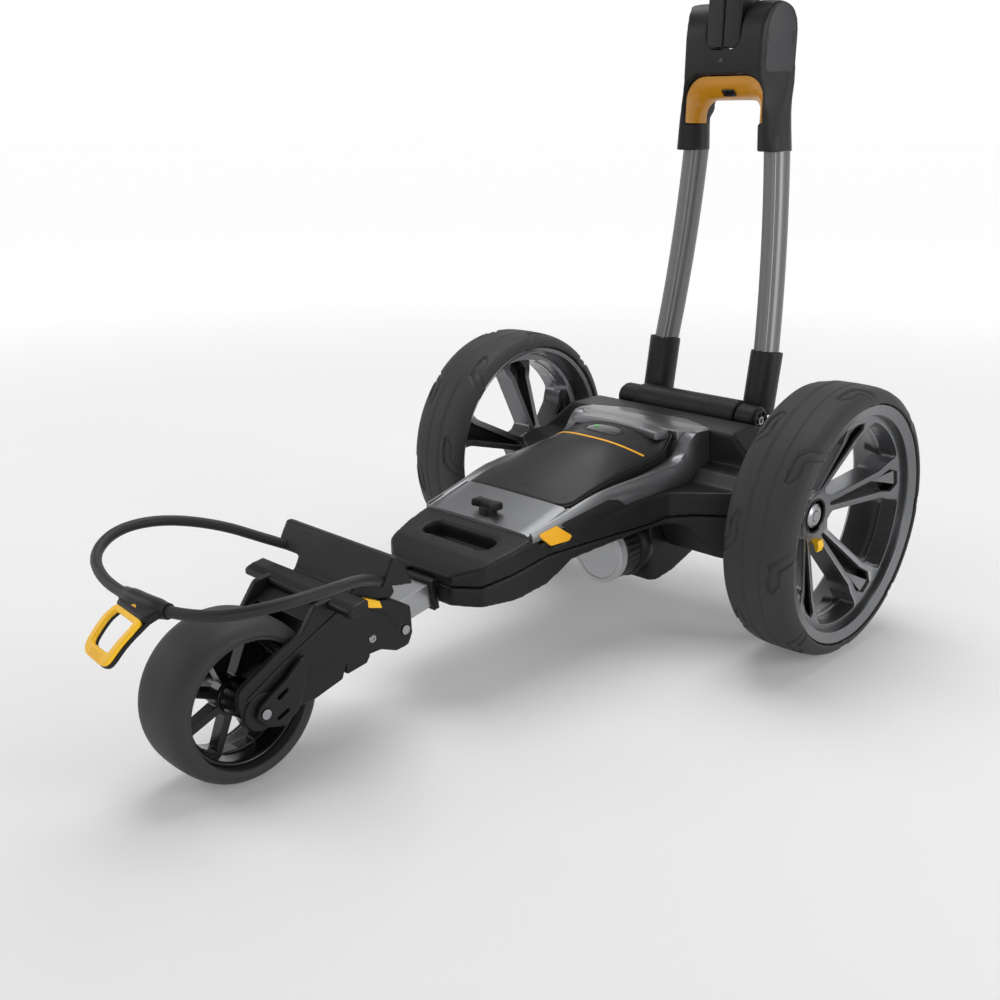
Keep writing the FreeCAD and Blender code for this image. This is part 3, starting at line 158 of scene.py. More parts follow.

# edge sets the strength of the painted highlights on sharp edges.
FINISHES = {
    "shell_black": dict(colour=srgb(20, 20, 21), rough=0.46, grain=1400, depth=0.04, vary=0.12, edge=0.25,
                        clear=0.28),
    "deck_silver": dict(colour=srgb(118, 119, 121), rough=0.36, metal=0.85, grain=2600, depth=0.012,
                        vary=0.07, coat=0.3),
    "battery_black": dict(colour=srgb(38, 38, 40), rough=0.38, metal=0.3, grain=1800, depth=0.03, vary=0.08,
                          clear=0.3),
    "badge_yellow": dict(colour=srgb(244, 176, 16), rough=0.42, grain=1200, depth=0.02, vary=0.04),
    "motor_black": dict(colour=srgb(24, 24, 26), rough=0.38, grain=1300, depth=0.04, vary=0.12, edge=0.3,
                        clear=0.35),
    "motor_cap": dict(colour=srgb(178, 179, 181), rough=0.42, metal=0.3, grain=1600, depth=0.02, vary=0.05),
    "steel": dict(colour=srgb(160, 161, 164), rough=0.26, metal=1.0, grain=1500, depth=0.01, vary=0.08,
                  stretch=(0.12, 1, 1)),
    "bearing": dict(colour=srgb(140, 141, 144), rough=0.3, metal=1.0, grain=1500, depth=0.01, vary=0.08),
    "board_green": dict(colour=srgb(26, 88, 52), rough=0.45, grain=800, depth=0.03, vary=0.15),
    "tyre_rubber": dict(colour=srgb(52, 52, 53), rough=0.6, grain=1500, depth=0.05, vary=0.1, edge=0.2,
                        clear=0.3),
    "rim_silver": dict(colour=srgb(108, 109, 111), rough=0.3, metal=0.9, grain=2400, depth=0.008, vary=0.06,
                       edge=0.3, coat=0.15),
    "front_rim_black": dict(colour=srgb(13, 13, 15), rough=0.24, grain=1700, depth=0.02, vary=0.1, coat=0.2,
                            clear=0.35),
    "yellow_plastic": dict(colour=srgb(252, 194, 8), rough=0.4, grain=1300, depth=0.03, vary=0.05),
    "strap_rubber": dict(colour=srgb(32, 32, 34), rough=0.5, grain=1600, depth=0.04, vary=0.1, clear=0.35),
    "tube_silver": dict(colour=srgb(106, 106, 107), rough=0.36, metal=0.85, grain=2200, depth=0.01, vary=0.05,
                        stretch=(1, 1, 0.1)),
    # A lighter copy of tube_silver for the boom: painted highlight, for the bright light along it.
    "boom_silver_painted_highlight": dict(colour=srgb(168, 169, 171), rough=0.3, metal=0.85, grain=2400, depth=0.01, vary=0.05,
                        stretch=(1, 0.1, 1)),
    "latch_amber": dict(colour=srgb(192, 130, 8), rough=0.32, grain=1200, depth=0.02, vary=0.06, coat=0.2),
    "spring_steel": dict(colour=srgb(140, 140, 142), rough=0.3, metal=1.0, grain=1200, depth=0.01, vary=0.08),
    "cap_grey": dict(colour=srgb(50, 50, 53), rough=0.45, grain=1300, depth=0.03, vary=0.07, clear=0.3),
    "stem_black": dict(colour=srgb(17, 17, 18), rough=0.4, grain=1500, depth=0.03, vary=0.1, edge=0.25,
                       clear=0.3),
    "grip_rubber": dict(colour=srgb(26, 26, 28), rough=0.75, grain=700, depth=0.12, vary=0.1, clear=0.25),
    "screen_black": dict(colour=srgb(14, 16, 19), rough=0.24, grain=1500, depth=0.005, vary=0.06, coat=0.4),
    "button_red": dict(colour=srgb(190, 28, 22), rough=0.38, grain=1200, depth=0.02, vary=0.05),
}
MATS = {name: finish_of(name, **values) for name, values in FINISHES.items()}

# --- camera, light and floor -------------------------------------------------------------------------

EYE = Vector((0.88517, -0.92080, 0.59610))
EYE_AZIMUTH, EYE_ELEVATION = math.radians(43.866), math.radians(21.272)
SENSOR, LENS, SHIFT_UP = 36, 42.598, 0.077

def aim(obj, direction):
    """Turns a camera or light so that it looks along a direction."""
    obj.rotation_euler = direction.to_track_quat("-Z", "Y").to_euler()

def make_camera():
    """The view from the front right, a little above the trolley."""
    data = bpy.data.cameras.new("camera")
    data.sensor_width, data.lens, data.shift_y = SENSOR, LENS, SHIFT_UP
    data.clip_start = 0.05
    camera = add_object("camera", data)
    camera.location = EYE
    level = math.cos(EYE_ELEVATION)
    aim(camera, Vector((-math.sin(EYE_AZIMUTH) * level, math.cos(EYE_AZIMUTH) * level,
                        -math.sin(EYE_ELEVATION))))
    bpy.context.scene.camera = camera

def soft_light(name, place, target, size, power):
    """A softbox that looks at a target."""
    data = bpy.data.lights.new(name, "AREA")
    data.shape = "RECTANGLE"
    data.size, data.size_y = size
    data.energy = power
    lamp = add_object(name, data)
    lamp.location = place
    aim(lamp, Vector(target) - Vector(place))

def light_studio():
    """Four softboxes and a world that is bright at the horizon and dim overhead."""
    soft_light("overhead", (-0.3, 0.5, 2.0), (0.0, 0.0, 0.2), (1.5, 1.5), 26)
    soft_light("left_key", (-1.7, -1.3, 1.4), (0.0, 0.0, 0.25), (0.9, 0.9), 7)
    soft_light("right_rim", (2.0, 0.6, 0.8), (0.2, 0.2, 0.2), (0.7, 1.2), 11)
    soft_light("low_front", (1.3, -2.1, 0.35), (0.2, -0.1, 0.15), (1.2, 0.4), 3.5)
    world = bpy.data.worlds.new("studio")
    world.use_nodes = True
    tree = world.node_tree
    coords = tree.nodes.new("ShaderNodeTexCoord")
    split = tree.nodes.new("ShaderNodeSeparateXYZ")
    tree.links.new(coords.outputs["Generated"], split.inputs[0])
    fall = remap(tree, split.outputs["Z"], 0.12, 0.75, 1.0, 0.22, smooth=True)
    background = tree.nodes["Background"]
    background.inputs["Color"].default_value = (1.0, 1.0, 1.0, 1)
    tree.links.new(fall, background.inputs["Strength"])
    bpy.context.scene.world = world
    bpy.context.scene.view_settings.view_transform = "Standard"

FLOOR_HALF = 30.0
FLOOR_GAP = 0.0005

def lay_floor():
    """A plain pale sheet under the object with painted light: it glows, weakly near the object as painted
    shade and more with distance.
    """
    corners = [(a * FLOOR_HALF, b * FLOOR_HALF, 0) for a, b in ((-1, -1), (1, -1), (1, 1), (-1, 1))]
    mesh = bpy.data.meshes.new("floor")
    mesh.from_pydata(corners, [], [(0, 1, 2, 3)])
    floor = add_object("floor", mesh)
    floor.location.z = cad_box[0][2] - FLOOR_GAP
    white = finish_of("floor_white", (0.8, 0.8, 0.8), 0.8, grain=300, depth=0.01, vary=0.004, clear=0.2)
    tree = white.node_tree
    shader = tree.nodes["Principled BSDF"]
    shader.inputs["Emission Color"].default_value = (1, 1, 1, 1)
    coords = tree.nodes.new("ShaderNodeTexCoord")
    distance = tree.nodes.new("ShaderNodeVectorMath")
    distance.operation = "LENGTH"
    tree.links.new(coords.outputs["Object"], distance.inputs[0])
    # Painted light and shade: the floor's glow is weak near the object and grows with distance.
    painted_floor_light = remap(tree, distance.outputs["Value"], 0.5, 3.5, 0.1, 0.66, smooth=True)
    tree.links.new(painted_floor_light, shader.inputs["Emission Strength"])
    mesh.materials.append(white)

make_camera()
light_studio()
lay_floor()

# --- the strap, which is a cord ----------------------------------------------------------------------

STRAP_HALF = ((72, -526, 181), (84, -545, 190), (112, -585, 210), (136, -635, 222), (136, -684, 223),
              (108, -724, 215), (58, -743, 209))
STRAP_WIDTH = 10.6

def lay_strap():
    """The rubber strap, from one end of the cradle round in front of it to the other."""
    left = [(-x, y, z) for x, y, z in reversed(STRAP_HALF)]
    route = [at(*p) for p in (*STRAP_HALF, (0, -747, 208), *left)]
    data = bpy.data.curves.new("strap", "CURVE")
    data.dimensions = "3D"
    spline = data.splines.new("NURBS")
    spline.points.add(len(route) - 1)
    for point, place in zip(spline.points, route):
        point.co = (*place, 1)
    spline.order_u = 3
    spline.use_endpoint_u = True
    spline.resolution_u = 16
    data.bevel_depth = STRAP_WIDTH / 2 * MM
    data.bevel_resolution = 8
    data.use_fill_caps = True
    data.materials.append(MATS["strap_rubber"])
    strap = add_object("strap", data)
    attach(strap, "front_fork")
    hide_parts("bag_strap")
    return strap, route

STRAP, STRAP_ROUTE = lay_strap()

# --- mesh helpers ------------------------------------------------------------------------------------

def piece(name, mesh, body, slot, nodes=(), angle=40):
    """Wraps a mesh as a smooth-shaded piece that rides on a body and stands for some solids."""
    obj = add_object(name, mesh)
    if not mesh.materials:
        mesh.materials.append(MATS[slot])
    mesh.shade_smooth()
    mesh.set_sharp_from_angle(angle=math.radians(angle))
    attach(obj, body)
    if nodes:
        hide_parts(*nodes)
    return obj

def grid_mesh(name, rows, closed_rows=True, closed_columns=True, caps=False):
    """A mesh over rows of points, each row joined to the next."""
    count = len(rows[0])
    points = [p for row in rows for p in row]
    faces = []
    for i in range(len(rows) if closed_rows else len(rows) - 1):
        k = (i + 1) % len(rows)
        for j in range(count if closed_columns else count - 1):
            m = (j + 1) % count
            faces.append((i * count + j, i * count + m, k * count + m, k * count + j))
    if caps:
        faces.append(tuple(range(count))[::-1])
        faces.append(tuple(range((len(rows) - 1) * count, len(rows) * count)))
    mesh = bpy.data.meshes.new(name)
    mesh.from_pydata(points, [], faces)
    return outward(mesh)

def outward(mesh, close=False):
    """Makes a mesh's faces look outward, after closing its open edges if asked."""
    bm = bmesh.new()
    bm.from_mesh(mesh)
    if close:
        bmesh.ops.holes_fill(bm, edges=bm.edges[:], sides=0)
    bmesh.ops.recalc_face_normals(bm, faces=bm.faces)
    bm.to_mesh(mesh)
    bm.free()
    return mesh

def evaluated_mesh(obj):
    """The mesh of an object once its modifiers or its curve are worked out."""
    bpy.context.view_layer.update()
    return bpy.data.meshes.new_from_object(obj.evaluated_get(bpy.context.evaluated_depsgraph_get()))

def turned(name, profile, place, segments, lift=None):
    """A ring turned about the X axis through a place. profile holds (along X, radius) in millimetres,
    closed, and lift may change a radius by angle."""
    rows = []
    for i in range(segments):
        angle = 2 * math.pi * i / segments
        row = []
        for x, radius in profile:
            reach = radius + (lift(x, radius, angle) if lift else 0.0)
            row.append(place(x, reach * math.sin(angle), reach * math.cos(angle)))
        rows.append(row)
    return grid_mesh(name, rows)

def rounded(points, radius, steps=5):
    """A closed outline with its corners turned into arcs. A point's third number is its own radius."""
    result = []
    count = len(points)
    for i, point in enumerate(points):
        here = Vector(point[:2])
        before = Vector(points[i - 1][:2]) - here
        after = Vector(points[(i + 1) % count][:2]) - here
        size = point[2] if len(point) > 2 else radius
        turn = before.angle(after)
        reach = min(size / math.tan(turn / 2), 0.48 * before.length, 0.48 * after.length)
        if reach < 0.02:
            result.append(tuple(here))
            continue
        start, end = here + before.normalized() * reach, here + after.normalized() * reach
        for k in range(steps + 1):
            t = k / steps
            result.append(tuple(start.lerp(here, t).lerp(here.lerp(end, t), t)))
    return result

def plate(name, loops, low, high, bevel, place, segments=2, fine=0.0):
    """A plate over closed outlines, the first outside and the rest holes, from low to high, with rounded
    edges. place turns (across, up, out) in millimetres into a point."""
    curve = bpy.data.curves.new(name, "CURVE")
    curve.dimensions = "2D"
    curve.fill_mode = "BOTH"
    curve.extrude = (high - low) / 2 - bevel
    curve.bevel_depth = bevel
    curve.bevel_resolution = segments
    curve.offset = -bevel
    for loop in loops:
        spline = curve.splines.new("POLY")
        spline.points.add(len(loop) - 1)
        for point, (a, b) in zip(spline.points, loop):
            point.co = (a, b, 0, 1)
        spline.use_cyclic_u = True
    holder = add_object(name, curve)
    mesh = evaluated_mesh(holder)
    bpy.data.objects.remove(holder)
    bpy.data.curves.remove(curve)
    bm = bmesh.new()
    bm.from_mesh(mesh)
    bmesh.ops.remove_doubles(bm, verts=bm.verts, dist=0.001)
    if fine:
        cut_fine(bm, loops, fine)
    middle = (high + low) / 2
    for vert in bm.verts:
        vert.co = place(vert.co.x, vert.co.y, vert.co.z + middle)
    bmesh.ops.recalc_face_normals(bm, faces=bm.faces)
    bm.to_mesh(mesh)
    bm.free()
    mesh.name = name
    mesh.materials.clear()
    return mesh

def cut_fine(bm, loops, step):
    """Slices a flat plate both ways, so that it can be bent."""
    for axis in (0, 1):
        low = min(p[axis] for p in loops[0])
        high = max(p[axis] for p in loops[0])
        normal = (1, 0, 0) if axis == 0 else (0, 1, 0)
        for k in range(1, int((high - low) / step) + 1):
            spot = [0, 0, 0]
            spot[axis] = low + k * step
            bmesh.ops.bisect_plane(bm, geom=bm.verts[:] + bm.edges[:] + bm.faces[:], plane_co=spot,
                                   plane_no=normal)

def join(name, meshes):
    """One mesh out of several, each keeping its material."""
    bm = bmesh.new()
    total = bpy.data.meshes.new(name)
    for mesh in meshes:
        start = len(bm.faces)
        bm.from_mesh(mesh)
        bm.faces.ensure_lookup_table()
        for material in mesh.materials:
            if material.name not in total.materials:
                total.materials.append(material)
        index = total.materials.find(mesh.materials[0].name) if mesh.materials else 0
        for face in bm.faces[start:]:
            face.material_index = index
    bm.to_mesh(total)
    bm.free()
    return total

def painted(mesh, slot):
    """The mesh, in one finish."""
    mesh.materials.clear()
    mesh.materials.append(MATS[slot])
    return mesh

def cut_plate(slot, *args):
    """A plate in one finish."""
    return painted(plate(*args), slot)

def spun(slot, *args):
    """A turned ring in one finish."""
    return painted(turned(*args), slot)

def mirrored(right):
    """A symmetrical closed outline from its right half, beginning with the left end of its base."""
    left = [(-x, *rest) for x, *rest in reversed(right)]
    return left[-1:] + right + left[:-1]

def weld(obj):
    """Joins a solid's doubled corners."""
    obj.modifiers.new("weld", "WELD").merge_threshold = 0.00002

def mould(obj, voxel, rounds):
    """Gives a solid the flowing, rounded edges of a moulding."""
    weld(obj)
    remesh = obj.modifiers.new("remesh", "REMESH")
    remesh.mode = "VOXEL"
    remesh.voxel_size = voxel * MM
    remesh.use_smooth_shade = True
    flow = obj.modifiers.new("flow", "SMOOTH")
    flow.factor = 0.5
    flow.iterations = rounds

# --- rear wheels -------------------------------------------------------------------------------------

WHEEL_X = AXLE.x / MM
WHEEL_Z = AXLE.z / MM
BLOCKS_ROUND = 8
TREAD_PITCH = 2 * math.pi / BLOCKS_ROUND
BLOCK = ((53, 3), (35, -9), (20, -22), (18, -56), (26, -59), (34, -46), (34.5, -29), (53, -15))
BLOCK_STARTS = (math.radians(-40.5), math.radians(-50.7))
TREAD_RINGS = (-30.5, -12.5, -9.0, 9.5, 13.0)
TYRE_RADIUS = 158.7
TYRE_PROFILE = ((0, TYRE_RADIUS), (14, 158.5), (24, 157.9), (31, 156.6), (36.5, 154.2), (40.5, 150.4),
                (42.8, 146.5), (43.9, 143.5), (43.2, 141.6), (40, 141.2))
PROFILE_STEP = 1.5

def edge_distance(point, loop):
    """How far a point is inside a closed outline, below 0 outside."""
    best, inside = 1e9, False
    for i in range(len(loop)):
        a, b = loop[i - 1], loop[i]
        run = (b[0] - a[0], b[1] - a[1])
        t = ((point[0] - a[0]) * run[0] + (point[1] - a[1]) * run[1]) / (run[0] ** 2 + run[1] ** 2)
        t = min(1, max(0, t))
        best = min(best, math.hypot(a[0] + run[0] * t - point[0], a[1] + run[1] * t - point[1]))
        if (a[1] > point[1]) != (b[1] > point[1]):
            if point[0] < a[0] + (point[1] - a[1]) / run[1] * run[0]:
                inside = not inside
    return best if inside else -best

def ease(t):
    """A smooth step from 0 to 1."""
    t = min(1.0, max(0.0, t))
    return t * t * (3 - 2 * t)

def tread_height(across, angle):
    """How far the tread is cut in at an arc length across it and an angle round it, in millimetres."""
    depth = 0.0
    for ring in TREAD_RINGS:
        depth -= 0.8 * (1 - ease(abs(across - ring) / 1.1))
    side = 1 if across > 0 else -1
    start = BLOCK_STARTS[0 if across > 0 else 1]
    turn = side * ((angle - start + math.pi) % TREAD_PITCH)
    for shift in (-TREAD_PITCH, 0.0, TREAD_PITCH):
        spot = (abs(across), (turn + shift) * TYRE_RADIUS)
        if -62 < spot[1] < 6 and spot[0] > 14:
            inside = edge_distance(spot, BLOCK)
            depth -= 2.6 * ease((inside + 0.3) / 1.5) - 1.5 * ease((inside - 3.6) / 1.3)
    return depth

def tread_rows(side):
    """Half a tyre's profile at an even pitch, as (across, x, radius)."""
    result, walked = [], 0.0
    for (x0, r0), (x1, r1) in zip(TYRE_PROFILE, TYRE_PROFILE[1:]):
        length = math.hypot(x1 - x0, r1 - r0)
        steps = max(1, round(length / PROFILE_STEP))
        for k in range(steps):
            t = k / steps
            result.append((side * (walked + t * length), side * (x0 + (x1 - x0) * t), r0 + (r1 - r0) * t))
        walked += length
    result.append((side * walked, side * TYRE_PROFILE[-1][0], TYRE_PROFILE[-1][1]))
    return result

def tyre_mesh(name, place):
    """A moulded tyre: bent blocks are cut into the tread each side of a middle band."""
    profile = tread_rows(-1)[:0:-1] + tread_rows(1)
    per_pitch = 76
    cuts = [[tread_height(across, TREAD_PITCH * k / per_pitch) for across, _, _ in profile]
            for k in range(per_pitch)]
    rows = []
    for i in range(BLOCKS_ROUND * per_pitch):
        angle = TREAD_PITCH * i / per_pitch
        heights = cuts[i % per_pitch]
        rows.append([place(x, (r + h) * math.sin(angle), (r + h) * math.cos(angle))
                     for (_, x, r), h in zip(profile, heights)])
    return grid_mesh(name, rows)

SPOKES = 5
SPOKE_TURN = math.radians(2)
RING_IN, RING_OUT = 119.0, 127.5
ARM_WIDE = 7.2

def polar(radius, angle):
    """A point at an angle from straight up."""
    return (radius * math.sin(angle), radius * math.cos(angle))

def circle(radius, count=120):
    """A round outline."""
    return [polar(radius, 2 * math.pi * k / count) for k in range(count)]

def turned_loop(loop, angle):
    """An outline turned about the hub."""
    cos, sin = math.cos(angle), math.sin(angle)
    return [(x * cos + y * sin, y * cos - x * sin) for x, y in loop]

def pocket_loop(grow=0.0):
    """The pocket between the two arms of a spoke, black partly as its own backing and partly as painted shade.
    """
    right = [(2.2 + grow, 31 - grow), (11 + grow, 96), (15.5 + grow, 107, 2), (8.5, 116.5 + grow, 2)]
    return rounded(mirrored(right), 2.0, 3)

def window_loop():
    """The opening between two spokes, centred on the +Y direction."""
    half = math.pi / SPOKES
    stations = ((34, 2.6, 5), (96, 11.4, 14), (106, 17.5, 7), (RING_IN, 22.5, 7))
    right = [(*polar(radius, half - math.asin((spoke + ARM_WIDE) / radius)), corner)
             for radius, spoke, corner in stations]
    reach = math.atan2(right[-1][0], right[-1][1])
    arc = [(*polar(RING_IN, reach * k / 4), 20) for k in (3, 2, 1, 0, -1, -2, -3)]
    left = [(-x, y, corner) for x, y, corner in reversed(right)]
    return rounded(right + arc + left + [(0, 30, 6)], 6, 6)

DISH_START, DISH_LOW, DISH_RISE = 27, -13.5, 43.5

def dish(radius):
    """How far out a spoke's face lies at a radius."""
    return DISH_LOW + DISH_RISE * min(1.0, max(0.0, (radius - DISH_START) / (RING_IN - DISH_START)))

def wheel_place(side):
    """Turns (out, across, up) from a wheel's centre into a point, mirrored for the left wheel."""
    def place(out, across, up):
        return at(side * (WHEEL_X + out), across, WHEEL_Z + up)
    return place

def spoke_place(side):
    """Turns a flat plate's (across, up, out) into a point on the dished spokes."""
    middle = wheel_place(side)

    def place(across, up, out):
        return middle(out + dish(math.hypot(across, up)), across, up)
    return place

def spoke_facet(place, turn):
    """The bright wedge at the outer end of a spoke's pocket."""
    corners = [(-9, 115, -3.5), (9, 115, -3.5), (0, 97, -15.5), (-9, 115, -17), (9, 115, -17)]
    mesh = bpy.data.meshes.new("facet")
    mesh.from_pydata([place(*turned_loop([(x, y)], turn)[0], out) for x, y, out in corners], [],
                     [(0, 1, 2), (0, 2, 3), (1, 4, 2), (3, 2, 4), (0, 3, 4, 1)])
    return painted(outward(mesh), "rim_silver")

def spoke_meshes(side):
    """The five double spokes with their black pockets, partly dark backing and partly painted shade, and
    bright end facets.
    """
    place = spoke_place(side)
    turns = [SPOKE_TURN + 2 * math.pi * k / SPOKES for k in range(SPOKES)]
    holes = [turned_loop(window_loop(), turn + math.pi / SPOKES) for turn in turns]
    holes += [turned_loop(pocket_loop(), turn) for turn in turns] + [circle(20, 60)]
    front, back = [circle(RING_OUT), *holes], [circle(RING_OUT - 1), *holes]
    meshes = [cut_plate("rim_silver", "spoke_front", front, -5, 0, 1.0, place, 2, 9),
              cut_plate("rim_silver", "spoke_back", back, -30, -4, 0.4, place, 0, 9)]
    for turn in turns:
        # The pocket's cup and floor are black: partly the wheel's own dark backing, partly painted shade in
        # the deep pocket.
        cup_loops = [turned_loop(pocket_loop(grow), turn) for grow in (0.4, -1.2)]
        floor_loop = turned_loop(pocket_loop(0.2), turn)
        meshes += [cut_plate("front_rim_black", "cup", cup_loops, -20, -2.4, 0.2, place, 0),
                   cut_plate("front_rim_black", "floor", [floor_loop], -20, -16, 0.2, place, 0),
                   spoke_facet(place, turn)]
    return meshes

LIP = ((26, 127), (31, 126.6), (35, 126.8), (37.4, 127.6), (38.2, 129), (39.6, 136), (41.2, 138.2),
       (41.4, 139.4), (40.4, 140.4), (36, 140.6), (-36, 140.6), (-40.4, 140.4), (-41.2, 138.6),
       (-38, 134.5), (-33, 132.5))
BARREL = ((-14, 127.4), (-13, 122.8), (9, 118.2), (11, 123.5), (24, 126.9))

def rim_mesh(side):
    """The polished lip and the faceted barrel behind the spokes."""
    def facets(x, radius, angle):
        turn = (angle - SPOKE_TURN) % (2 * math.pi / SPOKES) / (2 * math.pi / SPOKES)
        return -3.2 * ease((abs(turn - 0.5) - 0.24) / 0.05) if -15 < x < 10 and radius < 124 else 0.0

    return spun("rim_silver", "rim_lip", [*LIP, *BARREL], wheel_place(side), 240, facets)

def hub_meshes(side):
    """The hub's black recess, its bright ring and the axle's end."""
    place = wheel_place(side)
    wall = [(-46, 21.5), (-13.6, 21.5), (-12.4, 21), (-12.2, 20), (-13.2, 18.8), (-26, 17.6), (-27, 13),
            (-46, 13)]
    bearing = [(-27.5, 15), (-19.5, 15), (-18.6, 14.2), (-18.6, 12.6), (-19.4, 12), (-19.4, 7), (-27.5, 7)]
    return [spun("front_rim_black", "hub_wall", wall, place, 96),
            spun("bearing", "hub_bearing", bearing, place, 96)]

def make_rear_wheel(side, word):
    """A rear tyre and its rim, on the body that turns."""
    body = "wheel_" + word
    piece("tyre_" + word, tyre_mesh("tyre_" + word, wheel_place(side)), body, "tyre_rubber",
          ["rear_tyre_" + word])
    rim = join("rim_" + word, [rim_mesh(side), *spoke_meshes(side), *hub_meshes(side)])
    piece("rim_" + word, rim, body, "rim_silver", ["rear_rim_" + word], 28)

for wheel_side, wheel_word in ((1, "right"), (-1, "left")):
    make_rear_wheel(wheel_side, wheel_word)

# --- battery and deck --------------------------------------------------------------------------------

def along(keys, where):
    """A value between keys of (where, value), on a smooth curve."""
    if where <= keys[0][0]:
        return keys[0][1]
    for i in range(len(keys) - 1):
        (a, start), (b, end) = keys[i], keys[i + 1]
        if where <= b:
            before = keys[i - 1] if i else keys[i]
            after = keys[i + 2] if i + 2 < len(keys) else keys[i + 1]
            run = b - a
            t = (where - a) / run
            slope_a = (end - before[1]) / (b - before[0]) * run
            slope_b = (after[1] - start) / (after[0] - a) * run
            return ((2 * t ** 3 - 3 * t ** 2 + 1) * start + (t ** 3 - 2 * t ** 2 + t) * slope_a
                    + (3 * t ** 2 - 2 * t ** 3) * end + (t ** 3 - t ** 2) * slope_b)
    return keys[-1][1]

BATTERY_FRONT, BATTERY_REAR, BATTERY_HALF = -262, -58, 75.0
BATTERY_SPINE = ((BATTERY_FRONT, 196), (-225, 211), (-186, 225), (-150, 237), (-112, 243), (-84, 244),
                 (-22, 243))
BATTERY_EDGE = ((BATTERY_FRONT, 194.5), (-225, 203), (-186, 210), (-145, 215), (-114, 219), (-86, 225),
                (-56, 238))
PAD_MIDDLE = (2, -108)

def battery_top(x, y):
    """The height of the battery's crowned top."""
    spine, edge = along(BATTERY_SPINE, y), along(BATTERY_EDGE, y)
    return edge + (spine - edge) * (1 - min(1.0, abs(x) / BATTERY_HALF) ** 2.4)

def on_battery(x, y, out):
    """A point over the battery's top."""
    return at(x, y, battery_top(x, y) + out)

def battery_outline(grow=0.0):
    """The battery's outline from above, grown by a clearance."""
    half = BATTERY_HALF + grow
    right = [(half, BATTERY_FRONT - grow, 22), (half, -86, 14), (half - 9, BATTERY_REAR + grow, 6)]
    return rounded(mirrored(right), 10, 6)

def yellow_line():
    """The thin arc across the battery, as an outline on its top."""
    lower = [(x, -141 + 24 * abs(x / 70) ** 2.2) for x in range(-70, 71, 5)]
    return lower + [(x, y + 3.2) for x, y in reversed(lower)]

def oval(half_x, half_y, x=0.0, y=0.0, power=2.6, count=40):
    """A squarish oval outline."""
    points = []
    for k in range(count):
        a = 2 * math.pi * k / count
        c, s = math.cos(a), math.sin(a)
        points.append((x + half_x * math.copysign(abs(c) ** (2 / power), c),
                       y + half_y * math.copysign(abs(s) ** (2 / power), s)))
    return points

def make_battery():
    """The crowned battery with its line and finger mark, its grip bar and the status lamp."""
    rim = [oval(28, 15.5, *PAD_MIDDLE), oval(25.5, 13, *PAD_MIDDLE)]
    mark = [oval(8, 1.2, 0, -246)]
    cover = [cut_plate("battery_black", "battery", [battery_outline()], -34, 0, 1.8, on_battery, 3, 6),
             cut_plate("badge_yellow", "battery_line", [yellow_line()], -0.6, 0.35, 0.1, on_battery, 0, 6),
             cut_plate("shell_black", "indicator_rim", rim, -0.8, 0.5, 0.3, on_battery, 1, 6),
             cut_plate("shell_black", "finger_mark", mark, -0.4, 0.3, 0.1, on_battery, 0, 4)]
    piece("battery_cover", join("battery_cover", cover), "battery", "battery_black", ["battery_pack"], 30)

    def on_bar(x, y, out):
        sweep = (x / 70) ** 2
        return at(x, y - 3 * sweep + 2, 243 - 3.5 * sweep + out)
    outline = rounded([(-69, -64), (-65, -86), (65, -86), (69, -64)], 5, 5)
    bar = plate("battery_bar", [outline], -6, 4.5, 2.2, on_bar, 4, 6)
    piece("battery_grip_bar", bar, "battery", "deck_silver", ["battery_tab"], 30)
    pad_oval = [oval(24.5, 12, *PAD_MIDDLE)]
    pad = cut_plate("screen_black", "indicator_pad", pad_oval, -1.5, 0.2, 0.3, on_battery, 1, 6)
    lamp = plate("lamp", [oval(3.2, 3.2, -10, -106, 2.0, 24)], -0.5, 0.7, 0.2, on_battery, 1)
    lamp.materials.append(finish_of("lamp_green", srgb(60, 190, 50), 0.35, grain=1200, vary=0.05))
    piece("indicator", join("indicator", [pad, lamp]), "indicator", "screen_black", ["indicator_button"], 30)

DECK_FRONT, DECK_REAR = -326, -19
GAP_EDGE = ((BATTERY_FRONT, 191), (-245, 195), (-203, 198), (-145, 203), (-90, 210), (-70, 217), (-56, 234),
            (-46, 241), (DECK_REAR, 241))
RAIL_SIDE = ((DECK_FRONT, 83), (-278, 86.5), (-220, 90.5), (-145, 95), (-81, 98.5), (DECK_REAR, 100.5))
RAIL_HIGH = ((DECK_FRONT, 180), (-280, 190), (-220, 204), (-145, 209), (-81, 212), (-45, 210), (-31, 205),
             (DECK_REAR, 203))
RAIL_LOW = ((DECK_FRONT, 168), (-278, 177), (-185, 181), (-61, 186), (-36, 190), (DECK_REAR, 200))
APRON = ((DECK_FRONT, 177.5), (-300, 184), (BATTERY_FRONT, 195))
DECK_STATIONS = (-324, -322, -316, -300, -280, -264, -262.5, -262, -255, -240, -220, -195, -170, -145, -120,
                 -100, -85, -74, -66, -62, -58, -54, -50, -46, -40, -35, -31, -27, -23, -20)
BAR_TOP = 242

def deck_section(y):
    """Half of the silver deck across the trolley at one place along it, from the middle outward."""
    side, high, low = along(RAIL_SIDE, y), along(RAIL_HIGH, y), along(RAIL_LOW, y)
    if y < BATTERY_FRONT:
        top = along(APRON, y)
        inner = [(0, top), (30, top), (60, top - 0.4), (72, top - 0.8)]
        gap = top - 1.0
    else:
        gap = along(GAP_EDGE, y)
        floor = gap - 9 * (1 - ease((y + 62) / 10))
        inner = [(x, floor) for x in (0, 30, 60, 75.6)]
    shoulder = max(gap, high - 1.5) + 0.5
    return inner + [(76.6, gap - 1.5), (77.6, gap), (79.5, gap + 0.8), (side - 5, max(shoulder, high)),
                    (side - 1.6, high - 0.6), (side - 0.2, high - 3.0), (side + 0.8, low + 2),
                    (side + 0.4, low), (side - 4, low - 1.5), (0, low - 1.5)]

